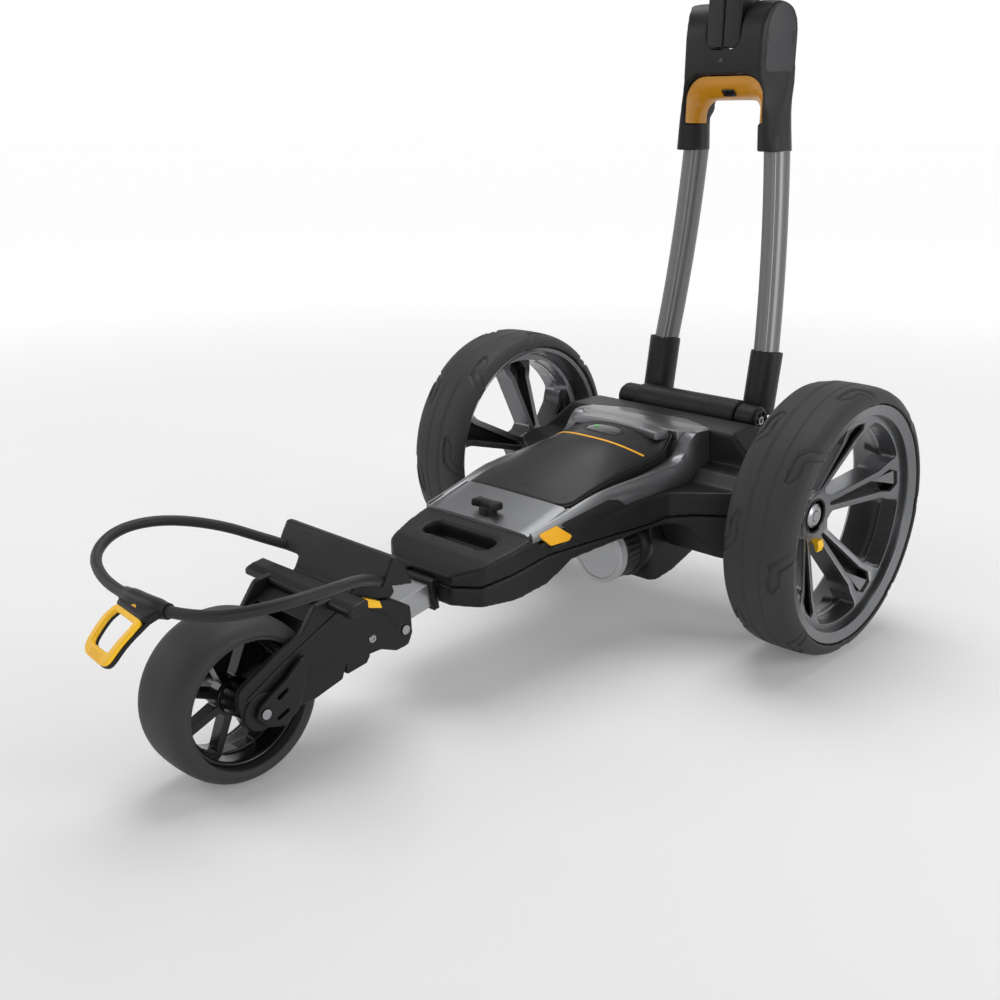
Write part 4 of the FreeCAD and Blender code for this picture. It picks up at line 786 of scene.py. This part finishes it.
def make_deck():
    """The silver deck round the battery, the bar across its rear and a black strip down in the gap beside the
    battery as painted shade.
    """
    rows = []
    for y in DECK_STATIONS:
        half = deck_section(y)
        rows.append([at(x, y, z) for x, z in half] + [at(-x, y, z) for x, z in half[-2:0:-1]])
    shell = painted(grid_mesh("deck", rows, closed_rows=False, caps=True), "deck_silver")
    outline = rounded(mirrored([(74, -56, 5), (92, -36, 8), (93, -16, 6), (46, 4, 30)]), 6, 5)
    bar = cut_plate("deck_silver", "deck_bar", [outline], -12, 0.4, 1.6,
                    lambda x, y, out: at(x, y, BAR_TOP + out), 3)
    piece("deck_cover", join("deck_cover", [shell, bar]), "chassis", "deck_silver", ["deck_panel"], 34)
    # Painted shade: a black strip fills the gap round the battery, over the silver deck below it.
    gap = [battery_outline(2.2), battery_outline(0.4)]
    piece("battery_seal", cut_plate("shell_black", "battery_seal", gap, -14, -2.0, 0.3, on_battery, 0, 7),
          "chassis", "shell_black")

def surface_of(node):
    """A CAD solid's faces, for finding where its surface is."""
    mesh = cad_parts[node].data
    return BVHTree.FromPolygons([v.co for v in mesh.vertices], [tuple(p.vertices) for p in mesh.polygons])

SHELLS = [surface_of(node) for node in ("upper_shell", "lower_shell", "deck_panel")]

def shell_side(y, z, sign):
    """Where a level ray from the side meets the chassis shells, in millimetres across."""
    best = 0.0
    for tree in SHELLS:
        spot = tree.ray_cast(at(sign * 250, y, z), Vector((-sign, 0, 0)))[0]
        if spot is not None:
            best = max(best, abs(spot.x) / MM)
    return best

def side_plane(start, end, sign):
    """Places (y, z, out) on a flat face over the shell's side between two places along it."""
    reach = [max(shell_side(y, z, sign) for z in range(163, 179, 5)) for y in (start, end)]

    def place(y, z, out):
        x = reach[0] + (reach[1] - reach[0]) * (y - start) / (end - start)
        return at(sign * (x + out), y, z)
    return place

def make_side_badges():
    """A yellow wedge and a black panel on each side, pressed into the shell."""
    wedge = rounded([(-317, 177.5), (-289, 182), (-264, 165), (-270, 160.5), (-297, 161)], 3, 4)
    panel = rounded([(-284, 182), (-206, 194), (-192, 191), (-178, 181), (-259, 166)], 2.5, 4)
    parts = []
    for sign in (1, -1):
        on_wedge, on_panel = side_plane(-312, -272, sign), side_plane(-275, -190, sign)
        parts.append(cut_plate("badge_yellow", "wedge", [wedge], -5, 1.0, 0.6, on_wedge, 2))
        parts.append(cut_plate("shell_black", "panel", [panel], -5, 0.7, 0.5, on_panel, 2))
    piece("side_badge_plates", join("side_badge_plates", parts), "chassis", "badge_yellow",
          ["side_badges"], 30)

CATCH_Y = -307

def make_catch():
    """The bow-tie catch on the deck that holds the folded handle."""
    def place(x, y, z):
        return at(x, y + CATCH_Y, z)
    bow = rounded(mirrored([(6, -5), (19, -10, 3), (18, 7, 3), (6, 5)]), 4, 4)
    parts = [cut_plate("shell_black", "catch_head", [bow], 187.5, 197, 3.2, place, 4),
             cut_plate("shell_black", "catch_foot", [oval(11, 8)], 178, 190, 1.5, place, 3)]
    piece("catch", join("catch", parts), "chassis", "shell_black", ["stow_catch"], 35)

def make_motor():
    """The motor: a ribbed can in a rounded collar, with a bright end cap."""
    low, high = box_of("motor_can")
    middle, radius = (low + high) / 2, (high.z - low.z) / 2
    front, back = low.y, high.y

    def place(y, across, up):
        return at(middle.x + across, y, middle.z + up)

    def ribs(y, reach, angle):
        ribbed = front + 4 < y < back - 8 and reach > 20
        return -0.9 * ease((math.sin(angle * 30) + 0.2) * 2) if ribbed else 0.0
    can = [(front, 4), (front, radius - 2.5), (front + 1, radius - 1.2)]
    can += [(front + 3 + k * (back - front - 4) / 8, radius - 0.4) for k in range(9)] + [(back, 4)]
    bulge = ((-14, -1), (-13, 1.0), (-10, 2.6), (-2, 3.2), (6, 1.5), (10, -4))
    collar = [(back + run, radius + rise) for run, rise in bulge] + [(back + 10, 8), (back - 14, 8)]
    parts = [spun("motor_black", "can", can, place, 240, ribs),
             spun("shell_black", "collar", collar, place, 96)]
    piece("motor_body", join("motor_body", parts), "chassis", "motor_black", ["motor_can"], 32)
    end = box_of("motor_end_cap")[0].y
    cap = [(end + 0.4, 0.2), (end + 0.4, radius * 0.80), (end + 0.9, radius * 0.82),
           (end + 0.9, radius * 0.84), (end, radius * 0.86), (end, radius - 1.4), (end + 1.2, radius - 0.2),
           (end + 5, radius), (front - 0.5, radius), (front + 0.5, radius - 1.5), (front + 0.5, 0.2)]
    piece("motor_cover", spun("motor_cap", "motor_cover", cap, place, 120), "chassis", "motor_cap",
          ["motor_end_cap"], 30)

make_catch()
make_motor()
make_battery()
make_deck()
make_side_badges()

# --- yoke and latch ----------------------------------------------------------------------------------

LATCH_LOW, LATCH_TRAVEL, LATCH_GAP = 588, 8.4, 0.9
FUNNEL = ((108.3, 55.6, 641.6, 27), (110.2, 52.6, 636, 25), (112.5, 50, 631, 23), (123, 44.5, 619, 20),
          (134, 43.2, 614.5, 19), (137, 43.5, 615, 19))
ARCH_STEPS = 10

def arch(half, low, top, corner):
    """A U-shaped line over an opening, in (x, z), from the left foot to the right."""
    left = [(-half, low + (top - corner - low) * k / 4) for k in range(4)]
    for k in range(ARCH_STEPS + 1):
        a = math.pi - math.pi / 2 * k / ARCH_STEPS
        left.append((-half + corner + corner * math.cos(a), top - corner + corner * math.sin(a)))
    left.append((-0.5 * (half - corner), top))
    return left + [(0.0, top)] + [(-x, z) for x, z in reversed(left)]

def arch_rows(profile, low, grow=0.0):
    """Arches one behind the other. profile holds (y, half width, top, corner radius)."""
    return [[at(x, y, z) for x, z in arch(half + grow, low, top + grow, corner)]
            for y, half, top, corner in profile]

def solid_latch():
    """The amber pull: a flared arch with a thin wall, closed at its feet."""
    behind = ((137.4, 45.4, 617, 20), (124, 47.4, 621.5, 21), (115, 52.5, 633, 24), (112.4, 55.2, 639.3, 26))
    rows = arch_rows(FUNNEL + behind, LATCH_LOW)
    return outward(grid_mesh("latch", rows, closed_columns=False), close=True)

def cut_from(obj, tool_mesh):
    """Takes a closed mesh's space out of an object."""
    tool = add_object("tool", tool_mesh)
    cut = obj.modifiers.new("cut", "BOOLEAN")
    cut.operation, cut.solver, cut.object = "DIFFERENCE", "EXACT", tool
    mesh = evaluated_mesh(obj)
    obj.modifiers.remove(cut)
    obj.data = mesh
    bpy.data.objects.remove(tool)

YOKE_LOW, SHOULDER, YOKE_TOP = 556, 655, 724
YOKE_FRONT, YOKE_BACK, YOKE_HALF = 98, 153, 69
LOBE_MIDDLE, LOBE_RISE = 682, 42.5
SLOT_HALF, SLOT_LOW = 24, 671
LEG_INSIDE, LEG_ROUND, LEG_SPREAD = 43.4, 16.0, 0.10
CAP_FRONT, CAP_BACK = (54.5, 98.5), (72.0, 148.0)
CAP_RUN = (CAP_BACK[0] - CAP_FRONT[0], CAP_BACK[1] - CAP_FRONT[1])

def yoke_place(x, z, out):
    """The yoke leans back and spreads towards its feet. Its lobes are round from the side, their outer faces
    are turned a little to the front, and its legs are round on all four corners."""
    fall = min(1.0, max(0.0, (SHOULDER - z) / (SHOULDER - YOKE_LOW)))
    front, back = YOKE_FRONT + 10 * fall, YOKE_BACK + 8.5 * fall
    middle, half = (front + back) / 2, (back - front) / 2
    if z > LOBE_MIDDLE:
        half *= math.sqrt(max(0.04, 1 - ((z - LOBE_MIDDLE) / LOBE_RISE) ** 2))
    wide, outside = abs(x) * (1 + LEG_SPREAD * fall), YOKE_HALF * (1 + LEG_SPREAD * fall)
    outer = ease((650 - z) / 60)
    for strength, inward, radius in ((ease((606 - z) / 14), wide - LEG_INSIDE, LEG_ROUND + 4),
                                     (outer, outside - wide, LEG_ROUND)):
        depth = min(radius, max(0.0, radius - inward))
        half -= strength * (radius - math.sqrt(radius ** 2 - depth ** 2))
    y = middle + out * half
    turned_front = CAP_FRONT[1] + (abs(x) - CAP_FRONT[0]) * CAP_RUN[1] / CAP_RUN[0] * (1 - 0.45 * outer)
    if out < 0 and abs(x) > CAP_FRONT[0]:
        y = max(y, min(turned_front, back - 8))
    return at(math.copysign(wide, x), y, z)

def yoke_solid():
    """The yoke with the latch's flared opening, room for the latch to lift, and an opening behind its bridge
    for the folded stem."""
    half, slot = YOKE_HALF, SLOT_HALF
    outline = rounded([(-half, YOKE_LOW, 3), (-half, 640), (-half, YOKE_TOP, 22), (-30, YOKE_TOP, 6),
                       (-slot, 712, 8), (-slot, SLOT_LOW, 17), (slot, SLOT_LOW, 17), (slot, 712, 8),
                       (30, YOKE_TOP, 6), (half, YOKE_TOP, 22), (half, 640), (half, YOKE_LOW, 3),
                       (39, YOKE_LOW, 3), (41, 618, 16), (-41, 618, 16), (-39, YOKE_LOW, 3)], 10, 8)
    obj = add_object("yoke_body", plate("yoke", [outline], -1, 1, 0.001, yoke_place, 0, 3))
    through = [*FUNNEL, (160, 44.5, 616, 19), (180, 44.5, 616, 19)]
    lifted = [(y, wide, top + LATCH_TRAVEL, corner)
              for y, wide, top, corner in [(107.5, 55.7, 642, 27), *through]]
    for profile in ([(90, 59, 646, 28), *through], lifted):
        rows = arch_rows(profile, LATCH_LOW - 1, LATCH_GAP)
        cut_from(obj, grid_mesh("room", rows, closed_rows=False, caps=True))
    behind = [(123, 600), (123, 668), (117.5, 690), (190, 690), (190, 600)]
    cut_from(obj, plate("behind", [behind], -25.2, 25.2, 0.001, lambda y, z, x: at(x, y, z), 0))
    mesh = obj.data
    bpy.data.objects.remove(obj)
    return mesh

STEM_LOW, STEM_FRONT, STEM_BACK = 671.8, 97.5, 137

def make_stem():
    """The handle's stem: two half shells with a seam between them, rounded where they end in the yoke."""
    top = box_of("upper_stem")[1].z

    def face(x, z, y):
        rise = 0.06 * min(1.0, max(0.0, 1 - (z - 673) / 27))
        return at(x, y, z + rise * (y - STEM_FRONT))
    shells = []
    for sign in (1, -1):
        corners = ((0.5, STEM_LOW), (23.4, STEM_LOW, 16.5), (23.2, top), (0.5, top))
        half = rounded([(sign * x, *rest) for x, *rest in corners], 0.6, 8)
        shells.append(cut_plate("stem_black", "stem_half", [half], STEM_FRONT, STEM_BACK, 2.0, face, 4))
    core = rounded([(-21, 676, 16), (21, 676, 16), (21, top - 1), (-21, top - 1)], 1, 8)
    shells.append(cut_plate("front_rim_black", "stem_core", [core], 100, 135, 1.0, face, 2))
    piece("stem", join("stem", shells), "upper_handle", "stem_black", ["upper_stem"], 30)

PAD_HALF, PAD_RISE, PAD_LOW = 21.5, 39, 643

def make_pads():
    """A grey pad with two slits on the outer face of each lobe."""
    length = math.hypot(*CAP_RUN)
    turns = [math.pi * k / 16 for k in range(17)]
    crown = [(PAD_HALF * math.cos(a), LOBE_MIDDLE + PAD_RISE * math.sin(a)) for a in turns]
    base = [(PAD_HALF, 670), (PAD_HALF, PAD_LOW), (-PAD_HALF, PAD_LOW), (-PAD_HALF, 670)]
    foot = rounded(base, 15, 8)[6:-6]
    pads = []
    for sign in (1, -1):
        def onto(a, z, out, sign=sign):
            t = 0.53 + a / length
            return at(sign * (CAP_FRONT[0] + CAP_RUN[0] * t + out * CAP_RUN[1] / length),
                      CAP_FRONT[1] + CAP_RUN[1] * t - out * CAP_RUN[0] / length, z)
        pads.append(cut_plate("cap_grey", "pad", [crown + foot[::-1]], -5, 0.6, 1.0, onto, 3))
        for edge in (-18.6, 18.0):
            corners = [(edge + a, z) for a, z in ((-0.7, 676), (0.7, 676), (0.7, 690), (-0.7, 690))]
            slit = rounded(corners, 0.5, 2)
            pads.append(cut_plate("front_rim_black", "slit", [slit], -1, 1.0, 0.1, onto, 0))
    piece("yoke_pads", join("yoke_pads", pads), "lower_handle", "cap_grey", ["yoke_caps"], 30)

def make_pin():
    """The steel pin that the stem turns on."""
    low, high = box_of("stem_pin")
    middle, reach = (low + high) / 2, (high.z - low.z) / 2
    pin = [(-60, 0.2), (-60, reach - 1), (-59, reach), (59, reach), (60, reach - 1), (60, 0.2)]

    def place(x, across, up):
        return at(x, middle.y + across, middle.z + up)
    piece("handle_pin", turned("handle_pin", pin, place, 40), "upper_handle", "steel", ["stem_pin"])

def make_latch():
    """The amber latch, with a black plate on its crown standing for the slot for the deck's catch, as painted
    shade.
    """
    latch = piece("pull_latch", painted(solid_latch(), "latch_amber"), "stem_latch", "latch_amber",
                  ["yoke_latch"], 60)
    latch.data.shade_smooth()
    crown = ((107, 637), (110, 631), (122, 619), (138, 614.5))
    slot = rounded([(-9, 114.5), (9, 114.5), (9, 122), (-9, 122)], 1.5, 3)
    # Painted shade: a black plate on the crown stands in for the opening of the slot.
    notch = cut_plate("front_rim_black", "latch_notch", [slot], -1.2, 0.4, 0.2,
                      lambda x, y, out: at(x, y, along(crown, y) - out), 0)
    piece("latch_slot", notch, "stem_latch", "front_rim_black")

def make_yoke():
    """The yoke with its pads, its pin, the stem, a small mark and the latch."""
    body = piece("yoke_body", painted(yoke_solid(), "shell_black"), "lower_handle", "shell_black", ["yoke"])
    mould(body, 1.3, 7)
    make_pads()
    make_pin()
    make_stem()
    mark = cut_plate("front_rim_black", "yoke_mark", [[(-5.5, 656), (5.5, 656), (0, 662)]], -1, 0.5, 0.2,
                     lambda x, z, out: at(x, YOKE_FRONT - out, z), 1)
    piece("yoke_arrow", mark, "lower_handle", "front_rim_black")
    make_latch()

make_yoke()

# --- handle tubes ------------------------------------------------------------------------------------

TUBE_TOP, TUBE_STEPS, TUBE_ROUND = 563.0, 36, 72
TUBE_HALF_X, TUBE_HALF_Y = 15, 18.5
GROOVE_TURN, GROOVE_WIDE, GROOVE_DEPTH = 0.62, 0.13, 1.1

def level_centre(node, height):
    """The middle of a solid's section at a height, in metres."""
    bm = bmesh.new()
    bm.from_mesh(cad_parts[node].data)
    cut = bmesh.ops.bisect_plane(bm, geom=bm.verts[:] + bm.edges[:] + bm.faces[:],
                                 plane_co=(0, 0, height * MM), plane_no=(0, 0, 1))["geom_cut"]
    spots = [v.co for v in cut if isinstance(v, bmesh.types.BMVert)]
    low = Vector([min(p[i] for p in spots) for i in range(3)])
    high = Vector([max(p[i] for p in spots) for i in range(3)])
    bm.free()
    return (low + high) / 2

def tube_section():
    """An oval about its middle, in metres, with two fine grooves in its front."""
    ring = []
    for k in range(TUBE_ROUND):
        a = 2 * math.pi * k / TUBE_ROUND
        cut = 0.0
        for groove in (-GROOVE_TURN, GROOVE_TURN):
            offset = abs((a + math.pi / 2 - groove + math.pi) % (2 * math.pi) - math.pi)
            cut = max(cut, GROOVE_DEPTH * (1 - ease(offset / GROOVE_WIDE)))
        ring.append(Vector(((TUBE_HALF_X - cut) * math.cos(a), (TUBE_HALF_Y - cut) * math.sin(a), 0)) * MM)
    return ring

def make_tube(word):
    """A bowed tube that follows its solid from its socket up into the yoke."""
    node = "handle_tube_" + word
    start = box_of(node)[0].z + 4
    rows = []
    for i in range(TUBE_STEPS + 1):
        middle = level_centre(node, start + (TUBE_TOP - start) * i / TUBE_STEPS)
        rows.append([middle + spot for spot in tube_section()])
    piece("tube_" + word, grid_mesh("tube_" + word, rows, closed_rows=False, caps=True), "lower_handle",
          "tube_silver", [node], 50)

for tube_word in ("right", "left"):
    make_tube(tube_word)

# --- hook and sleeve on the strap --------------------------------------------------------------------

HOOK_ROOT = (20.0, -745.6, 208.3)
HOOK_TURN = math.radians(-6)
HOOK_HALF, HOOK_LONG = 27, 62
HOOK_DROP, HOOK_CURL = 20, 38
SLEEVE_REACH = 35

def hook_place(across, forward, up):
    """A point on the hook, which bends down as it goes forward from the strap."""
    bend = math.radians(HOOK_DROP + HOOK_CURL * min(1.3, max(0.0, forward / HOOK_LONG)))
    slope = (math.radians(HOOK_DROP) + bend) / 2
    run = forward * math.cos(slope) + up * math.sin(bend)
    fall = forward * math.sin(slope) - up * math.cos(bend)
    x = HOOK_ROOT[0] + across * math.cos(HOOK_TURN) + run * math.sin(HOOK_TURN)
    y = HOOK_ROOT[1] + across * math.sin(HOOK_TURN) - run * math.cos(HOOK_TURN)
    return at(x, y, HOOK_ROOT[2] - fall)

def hook_loop(grow, start=14.0, end=62.0):
    """A rounded frame that narrows a little away from the strap."""
    half = HOOK_HALF + grow
    right = [(half - 1.5, start - grow, 7 + grow), (half, start + 14), (half - 3, end + grow, 13 + grow)]
    return rounded(mirrored(right), 8, 7)

def make_hook():
    """The yellow hook on its dark liner, with a small arrow and a patch of grip dots."""
    loops = [hook_loop(0), hook_loop(-7.5, 12.5, 59.0)]
    lining = [hook_loop(1.4, 8.0), hook_loop(-6.8, 12.5, 59.0)]
    arrow = [[(-4.5, 9.5), (4.5, 9.5), (0, 5)]]
    parts = [cut_plate("yellow_plastic", "hook_loop", loops, -1.0, 3.6, 1.6, hook_place, 4, 5),
             cut_plate("shell_black", "hook_liner", lining, -4.4, 0.0, 1.4, hook_place, 3, 5),
             cut_plate("badge_yellow", "hook_arrow", arrow, 1.0, 5.0, 0.3, hook_place, 1)]
    for row in range(4):
        for column in range(7):
            dot = oval(0.75, 0.55, -9 + column * 3.0, 54 + row * 1.9, 2.0, 10)
            parts.append(cut_plate("yellow_plastic", "dot", [dot], 3.0, 4.0, 0.2, hook_place, 1))
    return piece("hook", join("hook", parts), "front_fork", "yellow_plastic", ["strap_hook"], 34)

def strap_line():
    """The strap's middle line as points, read from its spline."""
    data = STRAP.data.copy()
    data.bevel_depth = 0
    holder = add_object("line", data)
    points = [v.co.copy() for v in evaluated_mesh(holder).vertices]
    bpy.data.objects.remove(holder)
    return points

def tube_along(name, points, radii, segments):
    """A tube of changing radius, in millimetres, along points in metres."""
    rows = []
    for i, point in enumerate(points):
        ahead = points[min(i + 1, len(points) - 1)] - points[max(i - 1, 0)]
        side = ahead.cross(Vector((0, 0, 1))).normalized()
        up = side.cross(ahead).normalized()
        rows.append([point + (side * math.cos(a) + up * math.sin(a)) * radii[i] * MM
                     for a in (2 * math.pi * k / segments for k in range(segments))])
    return grid_mesh(name, rows, closed_rows=False, caps=True)

def make_sleeve():
    """The black sleeve that holds the hook on the strap, slimmer at its ends, with a flat saddle."""
    root = at(*HOOK_ROOT)
    line = [p for p in strap_line() if (p - root).length < SLEEVE_REACH * MM]
    count = len(line) - 1
    radii = [7.2 + 1.9 * ease(4 * min(i, count - i) / count) for i in range(count + 1)]
    saddle = rounded([(-31, -4, 6), (31, -4, 6), (28, 16, 8), (-28, 16, 8)], 5, 5)
    parts = [painted(tube_along("sleeve", line, radii, 28), "shell_black"),
             cut_plate("shell_black", "saddle", [saddle], -4.4, 4.6, 3.2, hook_place, 4, 5)]
    return piece("sleeve", join("sleeve", parts), "front_fork", "shell_black", ["strap_sleeve"], 50)

tuple(STRAP_ROUTE[0])
make_sleeve()
make_hook()

# --- hinge ends --------------------------------------------------------------------------------------

CAP_RING = ((-6, 14.5), (0.2, 14.5), (1.2, 13.6), (1.2, 11.6), (0.2, 10.8), (-3.5, 10.8), (-6, 10.8))
CAP_BOSS = ((-6, 5.5), (0.4, 5.5), (1.2, 4.8), (1.2, 3.4), (-1.0, 2.6), (-6, 2.4))
CAP_BASE = ((-6, 11), (-3.6, 11), (-3.6, 0.2), (-6, 0.2))
STAR_RIBS = 6

def make_hinge_stars():
    """A ribbed star cap on each end of the fold hinge."""
    low, high = box_of("hinge_caps")
    middle = (low + high) / 2
    parts = []
    for sign in (1, -1):
        def place(x, across, up, sign=sign):
            return at(sign * (high.x + x), middle.y + across, middle.z + up)

        def face(across, up, out, place=place):
            return place(out, across, up)
        parts += [spun("shell_black", "cap_ring", CAP_RING, place, 48),
                  spun("steel", "cap_boss", CAP_BOSS, place, 36)]
        for k in range(STAR_RIBS):
            rib = turned_loop([(-1.3, 4.5), (1.3, 4.5), (1.3, 12), (-1.3, 12)], 2 * math.pi * k / STAR_RIBS)
            parts.append(cut_plate("shell_black", "rib", [rib], -6, 0.4, 0.4, face, 1))
        parts.append(spun("front_rim_black", "cap_back", CAP_BASE, place, 36))
    piece("hinge_stars", join("hinge_stars", parts), "chassis", "shell_black", ["hinge_caps"], 35)

make_hinge_stars()

# --- fork sides --------------------------------------------------------------------------------------

FORK_SIDE = ((-570, 170), (-549, 160), (-500, 131), (-493, 120, 3), (-487, 113, 3), (-492, 94), (-523, 101),
             (-556, 99, 4), (-562, 82, 4), (-596, 73), (-632, 73), (-660, 76, 18), (-682, 86, 14),
             (-682, 110, 14), (-640, 132), (-609, 143, 10), (-590, 168, 8))
BOLT_Y, BOLT_Z = -523, 113
BOLT_HEAD = ((-1, 0.2), (1.2, 0.2), (1.2, 1.6), (2.0, 1.9), (2.2, 3.6), (1.4, 4.4), (-1, 4.4))

def make_fork_sides():
    """Moulded skins on the fork's two arms, each with a slot, a rib, a block and a screw."""
    outer = box_of("fork_housing")[1].x
    slot = rounded([(-556, 152), (-546, 146), (-548, 142), (-558, 148)], 1.2, 3)
    rib = rounded([(-676, 100), (-636, 122), (-560, 158), (-553, 154), (-628, 117), (-668, 95)], 3, 4)
    block = rounded([(-556, 99), (-540, 103), (-524, 96), (-530, 88), (-556, 84)], 3, 4)
    parts = []
    for sign in (1, -1):
        def face(y, z, out, sign=sign):
            return at(sign * (outer + out), y, z)

        def bolt(x, across, up, sign=sign):
            return at(sign * (outer + x), BOLT_Y + across, BOLT_Z + up)
        parts += [cut_plate("shell_black", "skin", [rounded(FORK_SIDE, 6, 4), slot], -6, 0.9, 1.6, face, 4),
                  cut_plate("shell_black", "rib", [rib], -1, 2.2, 1.1, face, 3),
                  cut_plate("shell_black", "block", [block], -12, -0.4, 1.5, face, 3),
                  spun("steel", "bolt", BOLT_HEAD, bolt, 36)]
    piece("fork_sides", join("fork_sides", parts), "front_fork", "shell_black", angle=32)

make_fork_sides()

# --- front wheel's tyre ------------------------------------------------------------------------------

def make_front_tyre():
    """A plain round-shouldered tyre with a bead step beside the rim."""
    low, high = box_of("front_tyre")
    middle, radius, half = (low + high) / 2, (high.z - low.z) / 2, (high.x - low.x) / 2
    shoulder = ((0, 0), (0.35, 0.3), (0.6, 1.4), (0.8, 3.8), (0.93, 7.6), (0.99, 11.4), (1, 14.2))
    bead = ((0.7, 15.2), (1.4, 16.4), (1.2, 18.0), (2.4, 19.2))
    crown = [(half * part, radius - drop) for part, drop in shoulder]
    crown += [(half - inward, radius - drop) for inward, drop in bead] + [(half - 6, 64.4)]
    profile = [(-x, r) for x, r in reversed(crown[1:])] + crown
    smooth = []
    for (x0, r0), (x1, r1) in zip(profile, profile[1:]):
        smooth += [(x0, r0), ((x0 + x1) / 2, (r0 + r1) / 2)]
    smooth.append(profile[-1])

    def place(x, across, up):
        return at(x, middle.y + across, middle.z + up)
    mesh = turned("front_tyre_skin", smooth, place, 160)
    tyre = piece("front_tyre_skin", mesh, "front_wheel", "tyre_rubber", ["front_tyre"])
    round_off = tyre.modifiers.new("round", "SUBSURF")
    round_off.levels = round_off.render_levels = 1

make_front_tyre()

# --- carried-over solids -----------------------------------------------------------------------------

EDGE_ROUND = 0.8

def soften(obj):
    """Rounds a solid's edges and smooths its faces."""
    weld(obj)
    bevel = obj.modifiers.new("bevel", "BEVEL")
    bevel.width = EDGE_ROUND * MM
    bevel.segments = 3
    bevel.limit_method = "ANGLE"
    bevel.angle_limit = math.radians(28)
    smooth = obj.modifiers.new("normals", "WEIGHTED_NORMAL")
    smooth.keep_sharp = True

# The grain in millimetres and the rounds of smoothing of each moulded solid.
MOULDED = {
    "lower_shell": (1.8, 14), "upper_shell": (1.8, 14), "fork_housing": (1.4, 8), "bag_cradle": (1.5, 12),
    "handle_sockets": (1.4, 8), "hinge_barrel": (1.4, 6), "hinge_knuckles": (1.4, 8),
    "gearbox_case": (1.8, 8), "handle_head": (1.6, 10), "upper_bag_support": (1.6, 8), "boom_collar": (1.2, 5),
    "tracking_lever": (1.1, 4), "front_hub_caps": (1.1, 4),
}
# The boom gets the lighter copy of the tubes' silver, a painted highlight.
OTHER_FINISH = {"tracking_lever": "shell_black", "front_hub_caps": "shell_black", "boom_tube": "boom_silver_painted_highlight"}

for node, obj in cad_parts.items():
    for slot in obj.material_slots:
        base = slot.material.name.split(".")[0] if slot.material else ""
        if base in MATS:
            slot.material = MATS[OTHER_FINISH.get(node, base)]
    if obj.hide_render:
        continue
    if node in MOULDED:
        mould(obj, *MOULDED[node])
    else:
        soften(obj)
